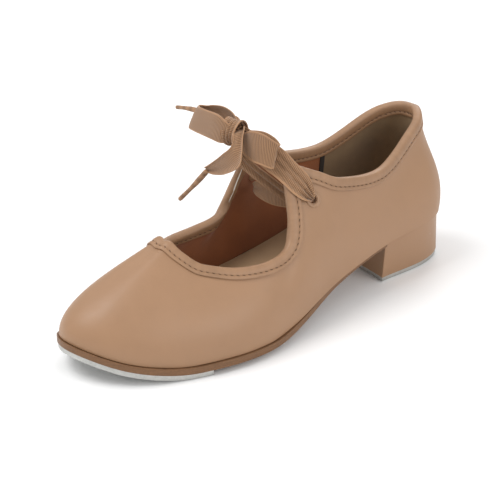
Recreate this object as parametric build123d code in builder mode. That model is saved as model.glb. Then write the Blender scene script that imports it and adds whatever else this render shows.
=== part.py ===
"""Tap shoe, left foot: a one-piece upper with two ribbon-tied tabs, a covered low heel
and metal taps under the toe and the heel.

Frame: millimetres, +Z up, ground at z = 0, toe towards -Y, outer side of the foot at +X.
The origin is the middle of the heel tap's ground face. Places along the shoe are written
as a distance forward of the heel's back, and y_at() turns such a distance into Y.
"""
from build123d import *
import math
import os

# ---------------------------------------------------------------- driving dimensions
LAST_LENGTH = 247.5        # heel back to toe tip, at the feather line
LAST_WIDTH = 83.5          # across the ball, at the feather line
HEEL_RISE = 24.2           # how much higher the foot stands at the heel than at the ball
TOE_SPRING = 12.3          # how much the toe tip lifts above the ball
ORIGIN_FORWARD = 32.0      # the origin's distance forward of the heel's back

UPPER = 1.2                # synthetic leather
STIFFENER = 0.7            # toe puff, heel counter and interlinings
LINING = 0.7               # vamp and quarter lining
GLUE = 0.1                 # cement line between two wall layers
LASTING_MARGIN = 13.0      # how far the upper turns in under the insole
BINDING = 0.6              # folded tape over the topline
BINDING_REACH = 6.2        # how far the tape reaches down each face

CEMENT = 0.15              # cement line between two bottom layers
OUTSOLE = 3.6              # at the forepart
OUTSOLE_WAIST = 2.2        # skived down towards the heel breast
WELT = 1.2                 # how far the outsole stands out past the upper
WAIST_TRIM = 1.4           # how far it is trimmed back inside the upper at the waist
INSOLE = 2.0
SOCK = 1.0
SHANK_WIDTH = 12.0
SHANK_BACK = 27.0
SHANK_FRONT = 118.0

TOE_TAP = 2.7              # thickness of the toe tap
TOE_TAP_BACK = 193.5       # where the toe tap ends behind
TOE_TAP_INSET = 0.5        # how far its rim stays inside the outsole's edge
HEEL_TAP = 2.5
HEEL_TAP_INSET = 0.4
HEEL_COVER = 0.8           # the upper's material wrapped round the heel
BREAST = 60.5              # the heel breast's corners
BREAST_HOLLOW = 5.0        # how far the breast is hollowed behind its corners

SCREW = 1.4                # screw shank radius
SCREW_HEAD = 3.1
SCREW_HEAD_HEIGHT = 1.6
SCREW_SUNK = 0.3           # heads sit this far inside the tap's face
TOE_SCREW_LENGTH = 5.4
HEEL_SCREW_LENGTH = 13.0
HOLE_CLEARANCE = 0.1
NAIL = 1.2
NAIL_HEAD = 2.8
NAIL_HEAD_HEIGHT = 0.8
NAIL_LENGTH = 17.0

EYELET = 2.7               # hole radius through the tab
EYELET_WALL = 0.5
EYELET_FLANGE = 4.2
EYELET_STAND = 0.35        # flange above the curved face of the tab
EYELET_RIB = 6.55          # where on the tab, in ribs forward of the heel
EYELET_HEIGHT = 0.76       # share of the way up the tab's rib curve

RIBBON_WIDTH = 16.0
RIBBON = 1.4               # two crossed faces of the thin ribbon, made as one plain strip
TIP = 1.5                  # radius of the rolled ribbon end
TIP_LENGTH = 30.0

# The last, as ribs from the heel's back to the toe tip. Each rib runs from the feather
# line, where the upper meets the sole, to the topline:
#   feather: x outer side, x inner side, distance forward
#   topline: x outer side, x inner side, distance forward, height above the feather
#   how far the wall swells, and the slope in degrees with which it meets the topline
RIBS = [
    (0.0, 0.0, 1.8, 0.0, 0.0, 12.5, 54.8, 5.5, 96),
    (17.3, -19.0, 9.0, 6.5, -6.5, 16.0, 56.3, 4.4, 84),
    (25.3, -25.6, 17.5, 13.0, -13.0, 22.0, 55.2, 3.4, 82),
    (28.6, -26.8, 31.0, 17.6, -18.3, 32.0, 52.0, 2.6, 84),
    (29.7, -26.0, 61.0, 24.8, -24.2, 61.0, 42.4, 2.0, 88),
    (31.8, -25.9, 90.0, 25.0, -24.6, 90.5, 51.0, 2.0, 80),
    (33.8, -26.5, 104.0, 20.6, -20.4, 105.0, 60.5, 2.0, 67),
    (36.2, -27.5, 114.5, 13.8, -15.2, 118.6, 68.0, 2.0, 57),
    (38.3, -28.6, 122.5, 16.8, -18.0, 123.0, 62.2, 2.0, 57),
    (40.8, -30.4, 133.0, 25.2, -21.6, 127.4, 49.4, 2.0, 59),
    (43.2, -33.2, 146.0, 31.2, -24.4, 134.4, 39.6, 2.0, 59),
    (45.2, -36.0, 161.0, 31.4, -26.4, 148.6, 36.8, 2.0, 50),
    (44.2, -37.6, 179.0, 26.6, -24.9, 164.4, 36.8, 2.0, 41),
    (37.8, -36.2, 203.0, 17.6, -16.8, 178.2, 39.6, 1.6, 32),
    (26.2, -28.2, 227.0, 9.4, -10.2, 185.2, 41.4, 1.2, 27),
    (11.5, -18.0, 242.0, 3.8, -5.2, 187.7, 40.2, 1.0, 26),
    (-4.5, -4.5, 247.5, -0.6, -0.6, 188.3, 37.4, 0.9, 25),
]
# how the foot's seat rises along the last, as shares of HEEL_RISE and of TOE_SPRING
SEAT_RISE = [(-8, 1.03), (0, 1.0), (30, 0.905), (60, 0.79), (90, 0.54), (120, 0.265), (148, 0.03), (164, 0)]
SEAT_SPRING = [(202, 0), (216, 0.135), (232, 0.46), (247.5, 1.0), (254, 1.27)]
BASE_LENGTH = 247.5        # the last length and width that the ribs are written for
BASE_WIDTH = 83.5

ALONG = LAST_LENGTH / BASE_LENGTH
ACROSS = LAST_WIDTH / BASE_WIDTH
SEAT_FLAT = TOE_TAP + CEMENT + OUTSOLE      # height of the seat at the ball

os.makedirs("parts", exist_ok=True)


# ---------------------------------------------------------------- the last's geometry
def y_at(forward):
    return ORIGIN_FORWARD - forward


def blend(points, place):
    """A smooth curve through (place, value) points that keeps level where they do."""
    if place <= points[0][0]:
        return points[0][1]
    for i in range(len(points) - 1):
        (x0, v0), (x1, v1) = points[i], points[i + 1]
        if place <= x1:
            before = points[max(i - 1, 0)]
            after = points[min(i + 2, len(points) - 1)]
            slope0 = (v1 - before[1]) / (x1 - before[0]) if v0 not in (0, v1) else 0
            slope1 = (after[1] - v0) / (after[0] - x0) if v1 not in (0, v0) else 0
            t = (place - x0) / (x1 - x0)
            span = x1 - x0
            return (v0 * (2 * t**3 - 3 * t**2 + 1) + v1 * (3 * t**2 - 2 * t**3)
                    + span * (slope0 * (t**3 - 2 * t**2 + t) + slope1 * (t**3 - t**2)))
    return points[-1][1]


def seat(forward):
    """Height of the outsole's top face."""
    place = forward / ALONG
    return SEAT_FLAT + HEEL_RISE * blend(SEAT_RISE, place) + TOE_SPRING * blend(SEAT_SPRING, place)


def rib_loop():
    """The ribs once round the shoe: outer side heel to toe, then inner side toe to heel."""
    outer = [(a, s, t, u, h, w, g) for a, _, s, t, _, u, h, w, g in RIBS]
    inner = [(b, s, t, u, h, w, g) for _, b, s, _, t, u, h, w, g in RIBS]
    return outer + inner[-2:0:-1]


LOOP = rib_loop()
COUNT = len(LOOP)
TOE = len(RIBS) - 1
SEAM_OUTER = 4             # the lining's seams, at the waist
SEAM_INNER = COUNT - 4


def rib(place):
    """One rib at any place round the loop: its two plan points, height, swell and slope."""
    i = math.floor(place)
    t = place - i
    rows = [LOOP[(i + k) % COUNT] for k in (-1, 0, 1, 2)]
    mixed = [
        b + 0.5 * t * (c - a + t * (2 * a - 5 * b + 4 * c - d + t * (3 * (b - c) + d - a)))
        for a, b, c, d in zip(*rows)
    ]
    fx, fs, tx, ts, rise, swell, slope = mixed
    return (fx * ACROSS, fs * ALONG, tx * ACROSS, ts * ALONG, rise, swell, math.radians(slope))


def rib_plane(place):
    """An upright plane through the rib, x running inwards from the feather, y up."""
    fx, fs, tx, ts = rib(place)[:4]
    run = math.hypot(tx - fx, ts - fs)
    inward = Vector((tx - fx) / run, -(ts - fs) / run, 0)
    return Plane(origin=(fx, y_at(fs), 0), x_dir=inward, z_dir=inward.cross(Vector(0, 0, 1)))


def rib_hull(place):
    """Control points of a rib's curve in its rib plane, from the feather to the topline."""
    fx, fs, tx, ts, rise, swell, slope = rib(place)
    run = math.hypot(tx - fx, ts - fs)
    base = seat(fs) + CEMENT
    reach = 0.4 * math.hypot(run, rise)
    return [Vector(0, base), Vector(-swell, base + 0.45 * rise),
            Vector(run - reach * math.cos(slope), base + rise - reach * math.sin(slope)),
            Vector(run, base + rise)]


def blossom(hull, a, b, c):
    """The cubic's polar form, which gives the control points of any stretch of it."""
    p, q, r = [hull[i] * (1 - a) + hull[i + 1] * a for i in range(3)]
    p, q = p * (1 - b) + q * b, q * (1 - b) + r * b
    return p * (1 - c) + q * c


def wall_curve(place, depth, low, high):
    """Control points of the wall's curve at one depth, between two shares of the rib."""
    hull = rib_hull(place)
    ends = [blossom(hull, low, low, low), blossom(hull, low, low, high),
            blossom(hull, low, high, high), blossom(hull, high, high, high)]
    first, last = (ends[1] - ends[0]).normalized(), (ends[3] - ends[2]).normalized()
    start = ends[0] + Vector(first.Y, -first.X) * depth
    finish = ends[3] + Vector(last.Y, -last.X) * depth
    scale = (finish - start).length / (ends[3] - ends[0]).length
    return [start, start + (ends[1] - ends[0]) * scale, finish - (ends[3] - ends[2]) * scale, finish]


def wall_point(place, t, depth):
    """A point of the wall in its rib plane: t from feather 0 to topline 1, depth inwards."""
    hull = rib_hull(place)
    run = (blossom(hull, t, t, 1) - blossom(hull, t, t, 0)).normalized()
    return blossom(hull, t, t, t) + Vector(run.Y, -run.X) * depth


def height_share(place, height):
    """How far up the rib curve a height above the feather lies."""
    base = seat(rib(place)[1]) + CEMENT
    low, high = 0.0, 1.0
    for _ in range(30):
        middle = (low + high) / 2
        if wall_point(place, middle, 0).Y - base < height:
            low = middle
        else:
            high = middle
    return low


def below_rim(place, distance):
    """The share of the rib curve at a distance below the topline."""
    fx, fs, tx, ts, rise = rib(place)[:5]
    return 1 - distance / (1.2 * math.hypot(tx - fx, ts - fs, rise))


def under_insole(place, inward, lift):
    """A point on the lasting margin: its distance inwards and its height above the seat."""
    fx, fs, tx, ts = rib(place)[:4]
    run = math.hypot(tx - fx, ts - fs)
    return Vector(inward, seat(fs + (ts - fs) / run * inward) + lift)


def margin_curve(place, start, lift):
    """Control points of a curve along the lasting margin, from start to its inner edge."""
    end = under_insole(place, LASTING_MARGIN, lift)
    middle = under_insole(place, (start.X + LASTING_MARGIN) / 2, lift)
    return [start, middle * 2 - (start + end) / 2, end]


def space_point(place, t, depth):
    return rib_plane(place).from_local_coords(wall_point(place, t, depth))


def wall_frame(place, t, depth):
    """A plane on the wall's face, its z axis pointing out of the shoe."""
    origin = space_point(place, t, depth)
    up = space_point(place, t + 0.02, depth) - space_point(place, t - 0.02, depth)
    along = space_point(place + 0.1, t, depth) - space_point(place - 0.1, t, depth)
    return Plane(origin=origin, x_dir=along, z_dir=up.cross(along))


def outline(grow):
    """Plan points of the feather line, moved outwards by grow, a function of the distance forward."""
    points = []
    for place in range(COUNT):
        before, here, after = rib(place - 0.2), rib(place), rib(place + 0.2)
        dx, dy = after[0] - before[0], before[1] - after[1]
        size = math.hypot(dx, dy)
        points.append((here[0] - dy / size * grow(here[1]), y_at(here[1]) + dx / size * grow(here[1])))
    return points


def inset(distance):
    """An even step inside the feather line, for outline()."""
    return lambda forward: -distance


def sole_edge(forward):
    """The outsole's edge: a welt round the forepart, trimmed close through the waist."""
    share = min(max((forward / ALONG - 95) / 50, 0), 1)
    return WELT * share - WAIST_TRIM * (1 - share)


def places(first, last):
    """Rib places from first to last, ends included, about half a rib apart."""
    count = max(2, round(2 * (last - first)))
    return [first + k * (last - first) / count for k in range(count + 1)]


def wall_layer(first, last, outer, inner, low, high):
    """A loft through the ribs of one wall layer between two depths.

    low is a height above the feather, high a function of place giving the curve share.
    """
    with BuildPart() as layer:
        for place in places(first, last):
            start = height_share(place, low)
            top = high(place)
            outside = wall_curve(place, outer, start, top)
            inside = wall_curve(place, inner, start, top)
            with BuildSketch(rib_plane(place)):
                with BuildLine():
                    Bezier(*outside)
                    Line(outside[-1], inside[-1])
                    Bezier(*inside[::-1])
                    Line(inside[0], outside[0])
                make_face()
        loft(ruled=True)
    return layer


def seat_band(low, high, back, front, count=26):
    """Outline, in (y, z), of a layer that follows the seat between two heights above it.

    low and high may be numbers or functions of the distance forward.
    """
    lower = low if callable(low) else lambda s: low
    upper = high if callable(high) else lambda s: high
    marks = [back + (front - back) * k / (count - 1) for k in range(count)]
    bottom = [(y_at(s), seat(s) + lower(s)) for s in marks]
    top = [(y_at(s), seat(s) + upper(s)) for s in marks]
    return bottom, top


def bottom_layer(points, low, high, back, front):
    """A sheet of the shoe's bottom: a plan outline, curved to follow the seat."""
    bottom, top = seat_band(low, high, back, front)
    with BuildPart() as layer:
        with BuildSketch(Plane.XY):
            with BuildLine():
                Spline(*points, periodic=True)
            make_face()
        extrude(amount=90)
        with BuildSketch(Plane.YZ):
            with BuildLine():
                Spline(*bottom)
                Line(bottom[-1], top[-1])
                Spline(*top[::-1])
                Line(top[0], bottom[0])
            make_face()
        extrude(amount=80, both=True, mode=Mode.INTERSECT)
    return layer


def keep(builder, label):
    builder.part.label = label
    export_step(builder.part, f"parts/{label}.step")


# ---------------------------------------------------------------- eyelet places
def eyelet_frames():
    outer = wall_frame(EYELET_RIB, EYELET_HEIGHT, 0)
    inner = wall_frame(COUNT - EYELET_RIB, EYELET_HEIGHT, 0)
    return [outer, inner]


EYELETS = eyelet_frames()
WALL = UPPER + STIFFENER + LINING + 2 * GLUE     # the whole wall at an eyelet


def pierce_tabs():
    """Both eyelet holes, cut from the wall layer that is being built."""
    for frame in EYELETS:
        with Locations(Location(frame)):
            Cylinder(EYELET, 4 * WALL, mode=Mode.SUBTRACT)


# ---------------------------------------------------------------- upper
with BuildPart() as upper:
    for place in places(SEAM_INNER - COUNT + 0.01, SEAM_INNER - 0.01):
        start = height_share(place, UPPER)
        outside = wall_curve(place, 0, 0, 1)
        inside = wall_curve(place, UPPER, start, 1)
        inner_face = margin_curve(place, inside[0], CEMENT + UPPER)
        under_face = margin_curve(place, outside[0], CEMENT)
        with BuildSketch(rib_plane(place)):
            with BuildLine():
                Bezier(*outside)
                Line(outside[-1], inside[-1])
                Bezier(*inside[::-1])
                Bezier(*inner_face)
                Line(inner_face[-1], under_face[-1])
                Bezier(*under_face[::-1])
            make_face()
    loft(ruled=True)
    pierce_tabs()
keep(upper, "upper")

# ---------------------------------------------------------------- stiffeners
FLOOR = UPPER + GLUE                       # wall layers stand on the lasting margin
STIFF_OUT = UPPER + GLUE
STIFF_IN = STIFF_OUT + STIFFENER
LINING_OUT = STIFF_IN + GLUE
LINING_IN = LINING_OUT + LINING
PUFF_RIB = TOE - 3.5                       # where the toe puff ends on each side
COUNTER_RIB = 3.5
GAP_RIB = 0.02                             # butt joints between neighbouring layers


def near_rim(place):
    return below_rim(place, 1.0)


toe_puff = wall_layer(PUFF_RIB, COUNT - PUFF_RIB, STIFF_OUT, STIFF_IN, FLOOR, lambda place: 0.5)
keep(toe_puff, "toe_puff")

heel_counter = wall_layer(-COUNTER_RIB, COUNTER_RIB, STIFF_OUT, STIFF_IN, FLOOR, lambda place: 0.8)
keep(heel_counter, "heel_counter")

with BuildPart() as interlining_lateral:
    add(wall_layer(COUNTER_RIB + GAP_RIB, PUFF_RIB - GAP_RIB, STIFF_OUT, STIFF_IN, FLOOR, near_rim).part)
    pierce_tabs()
keep(interlining_lateral, "interlining_lateral")

with BuildPart() as interlining_medial:
    add(wall_layer(COUNT - PUFF_RIB + GAP_RIB, COUNT - COUNTER_RIB - GAP_RIB,
                   STIFF_OUT, STIFF_IN, FLOOR, near_rim).part)
    pierce_tabs()
keep(interlining_medial, "interlining_medial")


# ---------------------------------------------------------------- linings
def to_rim(place):
    return 1.0


with BuildPart() as vamp_lining:
    add(wall_layer(SEAM_OUTER + GAP_RIB, SEAM_INNER - GAP_RIB, LINING_OUT, LINING_IN, FLOOR, to_rim).part)
    pierce_tabs()
keep(vamp_lining, "vamp_lining")

quarter_lining = wall_layer(SEAM_INNER - COUNT + GAP_RIB, SEAM_OUTER - GAP_RIB,
                            LINING_OUT, LINING_IN, FLOOR, to_rim)
keep(quarter_lining, "quarter_lining")

TAPE_OUT = LINING_IN + GLUE
TAPE_IN = TAPE_OUT + 0.5
TAPE_FLOOR = UPPER + INSOLE + SOCK + 4 * CEMENT
TAPE_HALF = 0.12                           # half the tape's width, in ribs


def below_binding(place):
    return below_rim(place, BINDING_REACH + 1.0)


def seam_tape(centre):
    return wall_layer(centre - TAPE_HALF, centre + TAPE_HALF, TAPE_OUT, TAPE_IN, TAPE_FLOOR, below_binding)


lining_seam_tape_lateral = seam_tape(SEAM_OUTER)
keep(lining_seam_tape_lateral, "lining_seam_tape_lateral")
lining_seam_tape_medial = seam_tape(SEAM_INNER)
keep(lining_seam_tape_medial, "lining_seam_tape_medial")

# ---------------------------------------------------------------- topline binding
with BuildPart() as topline_binding:
    for place in places(SEAM_INNER - COUNT + 0.01, SEAM_INNER - 0.01):
        size = 1.2 * math.hypot(rib(place)[4], 12)
        foot = below_rim(place, BINDING_REACH)
        lip = 1 + (GLUE + BINDING) / size
        hem = 1 + GLUE / size
        face_out = wall_curve(place, -GLUE - BINDING, foot, lip)
        back_out = wall_curve(place, -GLUE, foot, hem)
        back_in = wall_curve(place, LINING_IN + GLUE, foot, hem)
        face_in = wall_curve(place, LINING_IN + GLUE + BINDING, foot, lip)
        with BuildSketch(rib_plane(place)):
            with BuildLine():
                Bezier(*face_out)
                Line(face_out[-1], face_in[-1])
                Bezier(*face_in[::-1])
                Line(face_in[0], back_in[0])
                Bezier(*back_in)
                Line(back_in[-1], back_out[-1])
                Bezier(*back_out[::-1])
                Line(back_out[0], face_out[0])
            make_face()
    loft(ruled=True)
keep(topline_binding, "topline_binding")

# ---------------------------------------------------------------- eyelets
def from_face(radius, low, high):
    """A disc or barrel between two heights over the tab's face, on the eyelet's axis."""
    with Locations((0, 0, low)):
        Cylinder(radius, high - low, align=(Align.CENTER, Align.CENTER, Align.MIN))


for label, frame in zip(("eyelet_lateral", "eyelet_medial"), EYELETS):
    with BuildPart() as eyelet:
        with Locations(Location(frame)):
            from_face(EYELET_FLANGE, EYELET_STAND, EYELET_STAND + EYELET_WALL)
            from_face(EYELET_FLANGE, -WALL - EYELET_STAND - EYELET_WALL, -WALL - EYELET_STAND)
            from_face(EYELET - HOLE_CLEARANCE, -WALL - EYELET_STAND, EYELET_STAND)
            Cylinder(EYELET - HOLE_CLEARANCE - EYELET_WALL, 6 * WALL, mode=Mode.SUBTRACT)
    keep(eyelet, label)

# ---------------------------------------------------------------- insole and its layers
INNER_EDGE = LINING_IN + 0.35                       # the insole's edge, inside the lining
INSOLE_LOW = 2 * CEMENT + UPPER
INSOLE_TOP = INSOLE_LOW + INSOLE
SOCK_LOW = INSOLE_TOP + CEMENT
HOLLOW_EDGE = LASTING_MARGIN + 0.4                  # inside the lasting margin
NAIL_PLACES = [(0, 19), (-9, 27), (9, 27), (-9, 43), (9, 43)]
HEEL_SCREW_PLACES = [(0, 11), (-14, 40), (14, 40)]
TOE_SCREW_PLACES = [(26, 200), (-24, 200), (15, 226), (-17, 228)]


def upright(points, height):
    """Locations, z up, at (x, distance forward) points and a height above the seat."""
    return [Location((x, y_at(s), seat(s) + height)) for x, s in points]


def tap_frames(points, lift):
    """Locations on the tap's underside, turned with the toe spring, z into the shoe."""
    frames = []
    for x, s in points:
        slope = (seat(s + 1) - seat(s - 1)) / 2
        normal = Vector(0, slope, 1).normalized()
        start = Vector(x, y_at(s), seat(s) - SEAT_FLAT) + normal * lift
        frames.append(Location(Plane(origin=start, x_dir=(1, 0, 0), z_dir=normal)))
    return frames


def screw_hole(length):
    """A countersunk hole, opening at the bottom of its location."""
    Cylinder(SCREW + HOLE_CLEARANCE, length + 1, align=(Align.CENTER, Align.CENTER, Align.MIN),
             mode=Mode.SUBTRACT)
    Cylinder(SCREW_HEAD + HOLE_CLEARANCE, 2 * SCREW_SUNK, mode=Mode.SUBTRACT)
    Cone(SCREW_HEAD + HOLE_CLEARANCE, SCREW + HOLE_CLEARANCE, SCREW_HEAD_HEIGHT + HOLE_CLEARANCE,
         align=(Align.CENTER, Align.CENTER, Align.MIN), mode=Mode.SUBTRACT)


def screw_body(length):
    Cone(SCREW_HEAD, SCREW, SCREW_HEAD_HEIGHT, align=(Align.CENTER, Align.CENTER, Align.MIN))
    Cylinder(SCREW, length, align=(Align.CENTER, Align.CENTER, Align.MIN))
    Box(2 * SCREW_HEAD, 0.8, 1.0, mode=Mode.SUBTRACT)


def nail_holes(radius, head, above):
    """Nail holes and head pockets under a face at a height above the seat."""
    for spot in upright(NAIL_PLACES, above):
        with Locations(spot):
            Cylinder(radius, 2 * (NAIL_LENGTH + 1), mode=Mode.SUBTRACT)
            Cylinder(head, 2 * (NAIL_HEAD_HEIGHT + HOLE_CLEARANCE), mode=Mode.SUBTRACT)


with BuildPart() as insole_board:
    add(bottom_layer(outline(inset(INNER_EDGE)), INSOLE_LOW, INSOLE_TOP, -8, 254).part)
    nail_holes(NAIL + HOLE_CLEARANCE, NAIL_HEAD + HOLE_CLEARANCE, INSOLE_TOP)
keep(insole_board, "insole_board")

sock_lining = bottom_layer(outline(inset(INNER_EDGE)), SOCK_LOW, SOCK_LOW + SOCK, -8, 254)
keep(sock_lining, "sock_lining")

with BuildPart() as shank:
    with BuildSketch(Plane.XY):
        with Locations((0, y_at((SHANK_BACK + SHANK_FRONT) / 2))):
            SlotOverall(SHANK_FRONT - SHANK_BACK, SHANK_WIDTH, rotation=90)
    extrude(amount=90)
    bottom, top = seat_band(CEMENT, CEMENT + UPPER, SHANK_BACK - 5, SHANK_FRONT + 5)
    with BuildSketch(Plane.YZ):
        with BuildLine():
            Spline(*bottom)
            Line(bottom[-1], top[-1])
            Spline(*top[::-1])
            Line(top[0], bottom[0])
        make_face()
    extrude(amount=20, both=True, mode=Mode.INTERSECT)
keep(shank, "shank")

with BuildPart() as bottom_filler:
    add(bottom_layer(outline(inset(HOLLOW_EDGE)), CEMENT, CEMENT + UPPER, SHANK_FRONT + 3, 254).part)
keep(bottom_filler, "bottom_filler")


# ---------------------------------------------------------------- outsole
def outsole_under(forward):
    """The outsole's lower face, from its full thickness thinning through the waist."""
    share = min(max((forward / ALONG - 62) / 75, 0), 1)
    return -(OUTSOLE_WAIST + (OUTSOLE - OUTSOLE_WAIST) * share)


def breast_cutter(shift, forward):
    """The plan shape ahead of the heel breast, or behind it when forward is False."""
    with BuildPart() as cutter:
        with BuildSketch(Plane.XY.offset(-5)):
            with BuildLine():
                corner = y_at(BREAST + shift)
                ThreePointArc((60, corner - 12), (0, corner + BREAST_HOLLOW), (-60, corner - 12))
                end = y_at(BREAST + 300) if forward else y_at(-60)
                Line((-60, corner - 12), (-60, end))
                Line((-60, end), (60, end))
                Line((60, end), (60, corner - 12))
            make_face()
        extrude(amount=110)
    return cutter.part


with BuildPart() as outsole:
    add(bottom_layer(outline(sole_edge), outsole_under, 0, -8, 256).part)
    add(breast_cutter(CEMENT, True), mode=Mode.INTERSECT)
    for spot in tap_frames(TOE_SCREW_PLACES, SCREW_SUNK):
        with Locations(spot):
            Cylinder(SCREW + HOLE_CLEARANCE, TOE_SCREW_LENGTH + HOLE_CLEARANCE,
                     align=(Align.CENTER, Align.CENTER, Align.MIN), mode=Mode.SUBTRACT)
keep(outsole, "outsole")


# ---------------------------------------------------------------- heel
HEEL_BASE = [(0, 0.8), (13.0, 4.0), (21.3, 16.0), (24.2, 38.0), (26.4, 70.0)]
HEEL_SEAT = [(0, 2.4), (17.4, 9.6), (25.6, 19.0), (28.8, 38.0), (29.6, 70.0)]
HEEL_SEAT_Z = 40.0         # the height that HEEL_SEAT is drawn at


def heel_curve(points, depth):
    """The heel's plan outline: the outer side's points, mirrored to the inner side."""
    outer = []
    for i, (x, s) in enumerate(points):
        ahead = points[min(i + 1, len(points) - 1)]
        behind = points[i - 1] if i else (-ahead[0], ahead[1])
        dx, ds = ahead[0] - behind[0], ahead[1] - behind[1]
        size = math.hypot(dx, ds)
        outer.append((x * ACROSS - ds / size * depth, s + dx / size * depth))
    return [(x, y_at(s)) for x, s in outer], [(-x, y_at(s)) for x, s in outer[1:]]


def heel_form(depth, breast_shift, top_gap):
    """The heel's form a depth inside its outline, cut by its breast and by the seat above it."""
    with BuildPart() as form:
        for height, points in ((HEEL_TAP + CEMENT, HEEL_BASE), (HEEL_SEAT_Z, HEEL_SEAT)):
            outer, inner = heel_curve(points, depth)
            with BuildSketch(Plane.XY.offset(height)):
                with BuildLine():
                    Spline(*inner[::-1], *outer)
                    Line(outer[-1], inner[-1])
                make_face()
        loft()
        add(breast_cutter(breast_shift, False), mode=Mode.INTERSECT)
        bottom, top = seat_band(-60, -top_gap, -10, 90)
        with BuildSketch(Plane.YZ):
            with BuildLine():
                Spline(*top)
                Polyline(top[-1], (top[-1][0], 0), (top[0][0], 0), top[0])
            make_face()
        extrude(amount=60, both=True, mode=Mode.INTERSECT)
    return form.part


with BuildPart() as heel_block:
    add(heel_form(HEEL_COVER + GLUE, -HEEL_COVER - GLUE, CEMENT))
    nail_holes(NAIL + HOLE_CLEARANCE, NAIL, INSOLE_TOP)
    for x, s in HEEL_SCREW_PLACES:
        with Locations(Location((x, y_at(s), SCREW_SUNK))):
            Cylinder(SCREW + HOLE_CLEARANCE, HEEL_SCREW_LENGTH + HOLE_CLEARANCE,
                     align=(Align.CENTER, Align.CENTER, Align.MIN), mode=Mode.SUBTRACT)
keep(heel_block, "heel_block")

with BuildPart() as heel_cover:
    add(heel_form(0, 0, CEMENT))
    add(heel_form(HEEL_COVER, -HEEL_COVER, -20), mode=Mode.SUBTRACT)
keep(heel_cover, "heel_cover")

with BuildPart() as heel_nails:
    for spot in upright(NAIL_PLACES, INSOLE_TOP):
        with Locations(spot):
            Cylinder(NAIL, NAIL_LENGTH, align=(Align.CENTER, Align.CENTER, Align.MAX))
            Cylinder(NAIL_HEAD, NAIL_HEAD_HEIGHT, align=(Align.CENTER, Align.CENTER, Align.MAX))
keep(heel_nails, "heel_nails")

# ---------------------------------------------------------------- taps
with BuildPart() as heel_tap:
    outer, inner = heel_curve(HEEL_BASE, HEEL_TAP_INSET)
    with BuildSketch(Plane.XY):
        with BuildLine():
            Spline(*inner[::-1], *outer)
            Line(outer[-1], inner[-1])
        make_face()
    extrude(amount=HEEL_TAP)
    add(breast_cutter(-HEEL_TAP_INSET, False), mode=Mode.INTERSECT)
    chamfer(heel_tap.faces().sort_by(Axis.Z)[0].edges(), 0.5)
    for x, s in HEEL_SCREW_PLACES:
        with Locations(Location((x, y_at(s), SCREW_SUNK))):
            screw_hole(HEEL_TAP)
keep(heel_tap, "heel_tap")

with BuildPart() as heel_tap_screws:
    for x, s in HEEL_SCREW_PLACES:
        with Locations(Location((x, y_at(s), SCREW_SUNK))):
            screw_body(HEEL_SCREW_LENGTH)
keep(heel_tap_screws, "heel_tap_screws")

with BuildPart() as toe_tap:
    rim = outline(lambda forward: sole_edge(forward) - TOE_TAP_INSET)
    add(bottom_layer(rim, -SEAT_FLAT, -OUTSOLE - CEMENT, -8, 256).part)
    with BuildSketch(Plane.XY.offset(-5)):
        with BuildLine():
            back = y_at(TOE_TAP_BACK)
            ThreePointArc((60, back - 4), (0, back + 5), (-60, back - 4))
            Polyline((-60, back - 4), (-60, back - 90), (60, back - 90), (60, back - 4))
        make_face()
    extrude(amount=90, mode=Mode.INTERSECT)
    for spot in tap_frames(TOE_SCREW_PLACES, SCREW_SUNK):
        with Locations(spot):
            screw_hole(TOE_TAP)
keep(toe_tap, "toe_tap")

with BuildPart() as toe_tap_screws:
    for spot in tap_frames(TOE_SCREW_PLACES, SCREW_SUNK):
        with Locations(spot):
            screw_body(TOE_SCREW_LENGTH)
keep(toe_tap_screws, "toe_tap_screws")


# ---------------------------------------------------------------- ribbon and its tied bow
KNOT = (-11.0, 134.5, 97.0)                # x, distance forward, height of the knot's middle
KNOT_SIZE = (12, 9, 16)
INNER_FOLD = (-48.0, 131.0, 95.0)          # the ends of the bow's two loops
OUTER_FOLD = (14.0, 128.0, 90.0)
LOOP_DEPTH = 9.0                           # a flattened loop, front face to back face
FRONT_TAIL = [(-5, 137, 95), (0, 141, 89), (-9, 143, 82), (-22, 143.5, 74.5)]
BACK_TAIL = [(-14, 128, 95), (-30, 122.5, 95), (-45, 122, 93.5)]
FRONT_TIP = [(-22, 143.5, 74.5), (-42.8, 145, 52.5)]
BACK_TIP = [(-45, 122, 93.5), (-74.9, 120.5, 89.5)]
STRAP_LIFT = 2.6                           # straps lie this far off the tabs
TIP_GAP = 1.0


def at(x, forward, z):
    return Vector(x, y_at(forward), z)


def strip(points, width, thickness, across):
    """A flat strip along straight runs between points, its width along one direction."""
    with BuildPart() as piece:
        for start, end in zip(points, points[1:]):
            run = (end - start).normalized()
            side = (across - run * across.dot(run)).normalized()
            with BuildSketch(Plane(origin=start - run * thickness / 2, x_dir=side, z_dir=run)):
                Rectangle(width, thickness)
            extrude(amount=(end - start).length + thickness)
    return piece.part


def loop_form(fold, width):
    """A closed flattened loop from the knot out to its fold, open through its width."""
    start, end = at(*KNOT), at(*fold)
    run = end - start
    reach = run.length
    flat = Plane(origin=start, x_dir=run, z_dir=Vector(0, 0, 1).cross(run).cross(run) * -1)
    with BuildPart() as form:
        with BuildSketch(flat.offset(-width / 2)):
            with Locations((reach / 2, 0)):
                SlotOverall(reach, LOOP_DEPTH)
                SlotOverall(reach - 2 * RIBBON, LOOP_DEPTH - 2 * RIBBON, mode=Mode.SUBTRACT)
        extrude(amount=width)
    return form.part


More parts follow.
